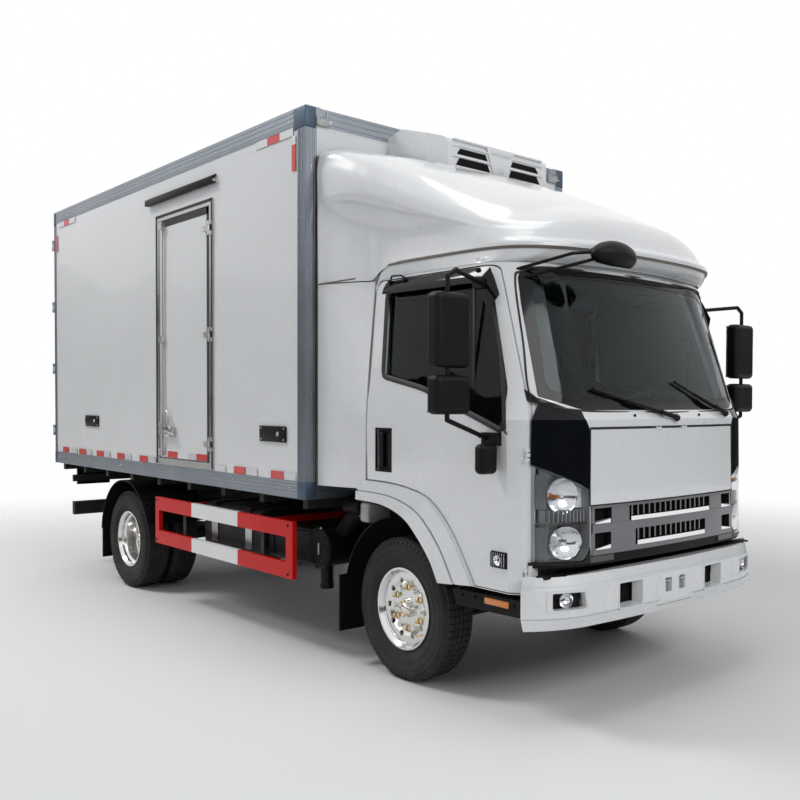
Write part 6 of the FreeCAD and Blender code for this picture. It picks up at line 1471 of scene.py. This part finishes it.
def wiper_arms():
    mesh = bmesh.new()
    for (pivot_y, pivot_z), (tip_y, tip_z) in (((0.540, 1.425), (0.130, 1.590)), ((0.030, 1.405), (-0.520, 1.545))):
        def at(share, lift):
            y, z = pivot_y + (tip_y - pivot_y) * share, pivot_z + (tip_z - pivot_z) * share
            return Vector((nose_x(y, z, -lift), y, z))
        add_turned(mesh, [(0.0, 0.016), (0.012, 0.014), (0.019, 0.008), (0.021, 0.0)], at(0, 0.012), (1, 0, 0.4), 24)
        add_tube(mesh, [at(0.0, 0.022), at(0.10, 0.026), at(0.22, 0.026)], 0.0125, 12)
        add_tube(mesh, [at(0.20, 0.026), at(0.40, 0.024), at(0.62, 0.016)], 0.0075, 10)
        for a, b in ((0.16, 0.42), (0.42, 0.68), (0.68, 0.96)):
            add_tube(mesh, [at(a, 0.010), at((a + b) / 2, 0.017), at(b, 0.010)], 0.0042, 8)
        add_tube(mesh, [at(0.14, 0.008), at(0.5, 0.008), at(1.0, 0.008)], 0.0052, 8)
    solid("wiper_arms", mesh, BLACK_PLASTIC, "cab", "black_plastic", 40)
    mesh = bmesh.new()
    for y in (-0.28, 0.27):
        point = Vector((nose_x(y, 1.418, -0.002), y, 1.418))
        add_turned(mesh, [(0.0, 0.007), (0.005, 0.006), (0.008, 0.0)], point, (1, 0, 0.5), 14)
    solid("washer_jets", mesh, BLACK_PLASTIC, "cab", "black_plastic", 40)


wiper_arms()


def front_mirror_shell():
    """Larger shell of the close-view mirror, with its glass facing down and back."""
    mesh = bmesh.new()
    made = bmesh.ops.create_uvsphere(mesh, u_segments=44, v_segments=28, radius=1.0)["verts"]
    for vert in made:
        x, y, z = vert.co
        low = max(-z, 0.0)
        vert.co = Vector((2.893 + x * 0.070, -0.425 + y * 0.152 * (1 - 0.10 * z),
                          2.182 + z * 0.066 - low * 0.012 * y))
    for vert in made:
        vert.co.z = max(vert.co.z, 2.131 - (vert.co.x - 2.893) * 0.35)
    add_rod(mesh, (2.893, -0.505, 2.196), (2.870, -0.560, 2.190), 0.014, 16, 0.003)
    solid("front_mirror_shell", mesh, BLACK_PLASTIC, "cab", "black_plastic", 50)


front_mirror_shell()

# Refrigeration unit


def reefer_trim():
    def plate(out, outline, thickness, bevel):
        add_plate(mesh, [Vector((front + out, y, z)) for y, z in outline], thickness, bevel)
    # Painted shade: near-black plates set back in the condenser's slots stand for the shade inside them, with louvre
    # blades across
    mesh = bmesh.new()
    front = 1.680
    for row in range(3):
        z = 2.786 + row * 0.062
        lean = 0.006 * row
        plate(-0.020 - lean, [(0.064 + row * 0.012, z), (0.352 + row * 0.004, z), (0.322 + row * 0.004, z + 0.046),
                              (0.086 + row * 0.012, z + 0.046)], 0.0225, 0.004)
        for blade in (0.012, 0.025, 0.037):
            add_box(mesh, (front - 0.004 - lean, 0.085 + row * 0.012, z + blade),
                    (front + 0.0045 - lean, 0.318, z + blade + 0.003), 0.001, 1)
    both_sides(mesh)
    solid("condenser_slots", mesh, BLACK_AND_SHADE, "root", "black_plastic", 35)
    mesh = bmesh.new()
    for z in (2.775, 2.832, 2.894, 2.956, 2.992):
        face = front - (z - 2.7) * 0.033
        add_box(mesh, (face - 0.012, 0.060, z), (face + 0.010, 0.372, z + 0.011), 0.004, 2)
    add_box(mesh, (front - 0.30, 0.4905, 2.72), (front - 0.10, 0.4960, 2.725), 0.0005, 1)
    both_sides(mesh)
    plate(-0.010, [(-0.050, 2.775), (0.050, 2.775), (0.072, 2.880), (0.115, 3.002), (-0.115, 3.002), (-0.072, 2.880)],
          0.0155, 0.005)
    solid("condenser_front_ribs", mesh, WHITE_PAINT, "root", "white_paint", 35)
    mesh = bmesh.new()
    plate(0.0035, [(-0.0255, 2.858), (0.0255, 2.858), (0.0255, 2.905), (-0.0255, 2.905)], 0.0035, 0.0015)
    plate(0.0035, [(-0.085, 2.955), (0.085, 2.955), (0.092, 2.982), (-0.092, 2.982)], 0.0035, 0.0015)
    solid("condenser_blank_plates", mesh, BADGE_BLANK, "root", "white_paint", 35)
    mesh = bmesh.new()
    add_box(mesh, (1.2265, 0.470, 2.652), (1.2420, 0.506, 3.010), 0.003, 1)
    for x in (1.30, 1.42, 1.54):
        add_turned(mesh, [(0.0, 0.003), (0.004, 0.0026), (0.0065, 0.0)],
                   (x, 0.4990 - (x - 1.217) * 0.045, 2.700), (0, 1, 0), 12)
    both_sides(mesh)
    solid("condenser_fixings", mesh, STEEL, "root", "steel_trim", 35)


reefer_trim()

# Wheel nuts, hub caps and valves


NUT_CIRCLE, NUT_FOOT = 0.111, 0.0215


def wheel_trim(sign, side):
    for name, x, nut_face, hub_face, body in (("front", FRONT_AXLE, 0.854, 0.862, "front_wheel_" + side),
                                              ("rear", REAR_AXLE, 0.818, 0.900, "rear_wheels_" + side)):
        mesh = bmesh.new()
        for number in range(6):
            turn = number * math.pi / 3 + math.pi / 6
            place = (x + NUT_CIRCLE * math.cos(turn), sign * nut_face, AXLE_HEIGHT + NUT_CIRCLE * math.sin(turn))
            add_turned(mesh, [(0.0, 0.009), (0.006, 0.008), (0.0105, 0.004), (0.0112, -0.002)], place, (0, sign, 0),
                       18)
            foot = (place[0], sign * (nut_face - NUT_FOOT), place[2])
            add_turned(mesh, [(0.014, 0.004), (0.020, 0.0035), (0.022, 0.0)], foot, (0, sign, 0), 24)
        ring = 0.040 if name == "front" else 0.036
        for number in range(8):
            turn = number * math.pi / 4
            add_hex(mesh, (x + ring * math.cos(turn), sign * (hub_face - 0.001), AXLE_HEIGHT + ring * math.sin(turn)),
                    (0, sign, 0), 0.0052, 0.007)
        solid(name + "_wheel_nuts_" + side, mesh, BRASS, body, "polished_rim", 35)
        mesh = bmesh.new()
        cap = [(0.0, 0.011), (0.012, 0.0105), (0.022, 0.008), (0.028, 0.004), (0.0305, -0.002)]
        add_turned(mesh, cap, (x, sign * hub_face, AXLE_HEIGHT), (0, sign, 0), 40)
        lip = 0.8465 if name == "front" else 0.8405
        add_turned(mesh, [(0.1865, 0.0), (0.1885, 0.0035), (0.1925, 0.0035), (0.1945, 0.0)],
                   (x, sign * lip, AXLE_HEIGHT), (0, sign, 0), 72)
        solid(name + "_hub_cap_" + side, mesh, CHROME, body, "polished_rim", 35)
        mesh = bmesh.new()
        y = 0.842 if name == "front" else 0.850
        add_tube(mesh, [(x + 0.120, sign * y, AXLE_HEIGHT - 0.122),
                        (x + 0.124, sign * (y + 0.018), AXLE_HEIGHT - 0.126),
                        (x + 0.119, sign * (y + 0.036), AXLE_HEIGHT - 0.121)], 0.0042, 10)
        solid(name + "_valve_" + side, mesh, BRASS, body, "polished_rim", 35)


for sign, side in SIDES:
    wheel_trim(sign, side)

# Rear lamps, plate holder and bumper


def rear_trim():
    mesh = bmesh.new()
    for y_low, z_low, y_high, z_high in ((0.594, 0.710, 0.602, 0.855), (0.878, 0.710, 0.886, 0.855),
                                         (0.594, 0.847, 0.886, 0.855), (0.594, 0.710, 0.886, 0.718)):
        add_box(mesh, (-2.9290, y_low, z_low), (-2.9020, y_high, z_high), 0.002, 1)
    add_box(mesh, (-2.9080, 0.598, 0.713), (-2.9020, 0.882, 0.852), 0.001, 1)
    for y in (0.695, 0.790):
        add_box(mesh, (-2.9356, y - 0.002, 0.717), (-2.9300, y + 0.002, 0.848), 0.0005, 1)
    both_sides(mesh)
    add_box(mesh, (-2.9240, -0.240, 0.640), (-2.9140, 0.240, 0.740), 0.003, 2)
    solid("tail_lamp_cases", mesh, BLACK_PLASTIC, "root", "black_plastic", 35)
    for name, near, far, material, slot in (("turn_segment", 0.699, 0.786, AMBER, "red_lens"),
                                            ("reversing_segment", 0.606, 0.691, SILVER_TAPE, "lamp_lens")):
        mesh = bmesh.new()
        add_box(mesh, (-2.9372, near, 0.722), (-2.9345, far, 0.843), 0.001, 1)
        both_sides(mesh)
        solid(name, mesh, material, "root", slot, 35)
    mesh = bmesh.new()
    for number in range(4):
        add_box(mesh, (-2.9145, 0.20 + number * 0.20, 0.470), (-2.9128, 0.30 + number * 0.20, 0.530), 0.0004, 1,
                number % 2)
    both_sides(mesh)
    solid("under_run_tape", mesh, [RED_TAPE, SILVER_TAPE], "root", "red_guard", 35)
    mesh = bmesh.new()
    add_box(mesh, (-2.9275, -0.200, 0.650), (-2.9242, 0.200, 0.731), 0.001, 1)
    solid("rear_blank_plate", mesh, BADGE_BLANK, "root", "white_paint", 35)


rear_trim()

# Inside of the cab


def cabin_linings():
    mesh = bmesh.new()
    add_surface(mesh, 24, 30, lambda u, v: Vector((1.640 + 0.800 * u, -0.790 + 1.580 * v,
                2.168 - 0.055 * (2 * abs(v - 0.5)) ** 6)))
    add_box(mesh, (1.612, -0.840, 1.030), (1.622, 0.840, 1.480), 0.004, 1)
    add_box(mesh, (1.612, -0.830, 1.925), (1.622, 0.830, 2.140), 0.004, 1)
    for sign in (1, -1):
        y = widths(sign, 0.445, 0.840)
        add_box(mesh, (1.612, y[0], 1.470), (1.622, y[1], 1.935), 0.004, 1)
        rail = widths(sign, 0.735, 0.790)
        add_box(mesh, (1.66, rail[0], 2.095), (2.42, rail[1], 2.135), 0.012, 2)
    solid("cabin_lining", mesh, CABIN_LIGHT, "cab", "cabin_plastic", 50)
    mesh = bmesh.new()
    for sign in (1, -1):
        foot = Vector((nose_x(0.845, 1.44, 0.075), sign * 0.800, 1.44))
        head = Vector((nose_x(0.775, 2.09, 0.075), sign * 0.722, 2.10))
        add_rod(mesh, foot, head, 0.026, 16, 0.004)
        add_tube(mesh, [foot.lerp(head, 0.30) + Vector((-0.03, 0, 0)), foot.lerp(head, 0.34) + Vector((-0.085, 0, 0)),
                        foot.lerp(head, 0.62) + Vector((-0.085, 0, 0)),
                        foot.lerp(head, 0.66) + Vector((-0.03, 0, 0))],
                 0.012, 12)
    add_box(mesh, (2.250, -0.640, 2.096), (2.420, -0.180, 2.118), 0.008, 2)
    add_box(mesh, (2.250, 0.180, 2.096), (2.420, 0.640, 2.118), 0.008, 2)
    add_box(mesh, (2.330, -0.110, 1.985), (2.352, 0.110, 2.060), 0.010, 3)
    add_rod(mesh, (2.345, 0.0, 2.055), (2.380, 0.0, 2.150), 0.008, 12)
    add_box(mesh, (1.640, -0.840, 1.0105), (2.560, 0.840, 1.0205), 0.004, 1)
    solid("cabin_fittings", mesh, CABIN_PLASTIC, "cab", "cabin_plastic", 45)
    mesh = bmesh.new()
    add_box(mesh, (2.470, 0.230, 1.395), (2.600, 0.610, 1.455), 0.022, 4)
    add_box(mesh, (2.505, -0.120, 1.180), (2.540, 0.140, 1.380), 0.012, 3)
    for y in (-0.700, -0.210, 0.680):
        add_box(mesh, (2.512, y - 0.055, 1.300), (2.534, y + 0.055, 1.360), 0.008, 2)
    add_box(mesh, (2.500, -0.640, 1.120), (2.532, -0.230, 1.270), 0.014, 3)
    add_tube(mesh, [(2.280, 0.110, 1.02), (2.300, 0.110, 1.16), (2.262, 0.110, 1.30)], 0.009, 12)
    add_turned(mesh, [(0.0, 0.030), (0.016, 0.024), (0.022, 0.006), (0.014, -0.014)], (2.262, 0.110, 1.305),
               (0, 0, 1), 20)
    add_tube(mesh, [(2.030, 0.150, 1.03), (2.110, 0.150, 1.16), (2.200, 0.150, 1.205)], 0.012, 12)
    solid("dash_and_levers", mesh, CABIN_PLASTIC, "cab", "cabin_plastic", 45)


cabin_linings()


def pad(mesh, low, high, crown, pull=0.010, power=7.0, lean=0.0, material=0):
    """A stuffed pad between two corners: crowned, with sides that pull in between its corners."""
    before = set(mesh.verts)
    corners = bmesh.ops.create_cube(mesh, size=2.0)["verts"]
    bmesh.ops.subdivide_edges(mesh, edges=edges_of(corners), cuts=15, use_grid_fill=True)
    made = [v for v in mesh.verts if v not in before]
    half = [(b - a) / 2 for a, b in zip(low, high)]
    middle = [(a + b) / 2 for a, b in zip(low, high)]
    thin = half.index(min(half))
    for vert in made:
        flat = [abs(c) for c in vert.co]
        share = max(flat) / sum(c ** power for c in flat) ** (1 / power)
        place = [value * share for value in vert.co]
        others = [i for i in range(3) if i != thin]
        swell = (1 - place[others[0]] ** 2) * (1 - place[others[1]] ** 2)
        spot = [middle[i] + place[i] * half[i] for i in range(3)]
        spot[thin] += math.copysign(crown * swell, place[thin])
        for i in others:
            other = others[1] if i == others[0] else others[0]
            spot[i] -= math.copysign(pull * (1 - place[other] ** 2) * abs(place[i]) ** 3, place[i])
        spot[0] += lean * (spot[2] - low[2])
        vert.co = spot
    return paint(made, material)


def seat_pieces():
    mesh = bmesh.new()
    seams = bmesh.new()
    places = ((0.185, 0.695), (-0.285, 0.125), (-0.695, -0.300))
    for number, (low_y, high_y) in enumerate(places):
        wing, middle = 0.075 if number == 0 else 0.045, (low_y + high_y) / 2
        pad(mesh, (1.700, low_y + wing, 1.118), (2.205, high_y - wing, 1.236), 0.012)
        pad(mesh, (1.700, low_y, 1.112), (2.215, low_y + wing + 0.006, 1.244), 0.008, 0.006, 5.0, 0.0, 1)
        pad(mesh, (1.700, high_y - wing - 0.006, 1.112), (2.215, high_y, 1.244), 0.008, 0.006, 5.0, 0.0, 1)
        pad(mesh, (1.742, low_y + wing, 1.238), (1.852, high_y - wing, 1.735), 0.014, 0.008, 7.0, -0.09)
        pad(mesh, (1.738, low_y, 1.230), (1.862, low_y + wing + 0.006, 1.715), 0.008, 0.006, 5.0, -0.09, 1)
        pad(mesh, (1.738, high_y - wing - 0.006, 1.230), (1.862, high_y, 1.715), 0.008, 0.006, 5.0, -0.09, 1)
        if number != 1:
            pad(mesh, (1.700, middle - 0.130, 1.752), (1.780, middle + 0.130, 1.905), 0.010, 0.010, 4.5)
            for y in (middle - 0.05, middle + 0.05):
                add_rod(seams, (1.738, y, 1.70), (1.738, y, 1.78), 0.006, 12)
        for x in (1.86, 2.03):
            add_tube(seams, [(x, low_y + wing + 0.01, 1.2400), (x, middle, 1.2475),
                             (x, high_y - wing - 0.01, 1.2400)], 0.0030, 8)
        for z in (1.40, 1.56):
            lean = -0.09 * (z - 1.238)
            add_tube(seams, [(1.853 + lean, low_y + wing + 0.01, z), (1.866 + lean, middle, z),
                             (1.853 + lean, high_y - wing - 0.01, z)], 0.0030, 8)
        for y in (low_y + wing + 0.002, high_y - wing - 0.002):
            add_tube(seams, [(1.74, y, 1.2410), (2.19, y, 1.2410)], 0.0035, 8)
            add_tube(seams, [(1.856, y, 1.27), (1.856 - 0.09 * 0.43, y, 1.70)], 0.0035, 8)
    piece = solid("seat_pads", mesh, [SEAT_CLOTH, SEAT_SIDE], "cab", "seat_cloth", 70)
    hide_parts("seats")
    for low_y, high_y in ((0.190, 0.690), (-0.690, 0.120)):
        add_box(seams, (1.690, low_y, 1.020), (2.200, high_y, 1.112), 0.012, 2)
        add_box(seams, (1.715, low_y - 0.006, 1.10), (1.735, high_y + 0.006, 1.70), 0.008, 2)
    solid("seat_frames_and_seams", seams, SEAT_SIDE, "cab", "seat_cloth", 45)


seat_pieces()


low_corner, high_corner = box_at_load
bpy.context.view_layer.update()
scene = bpy.context.scene
scene.view_settings.view_transform = "Standard"
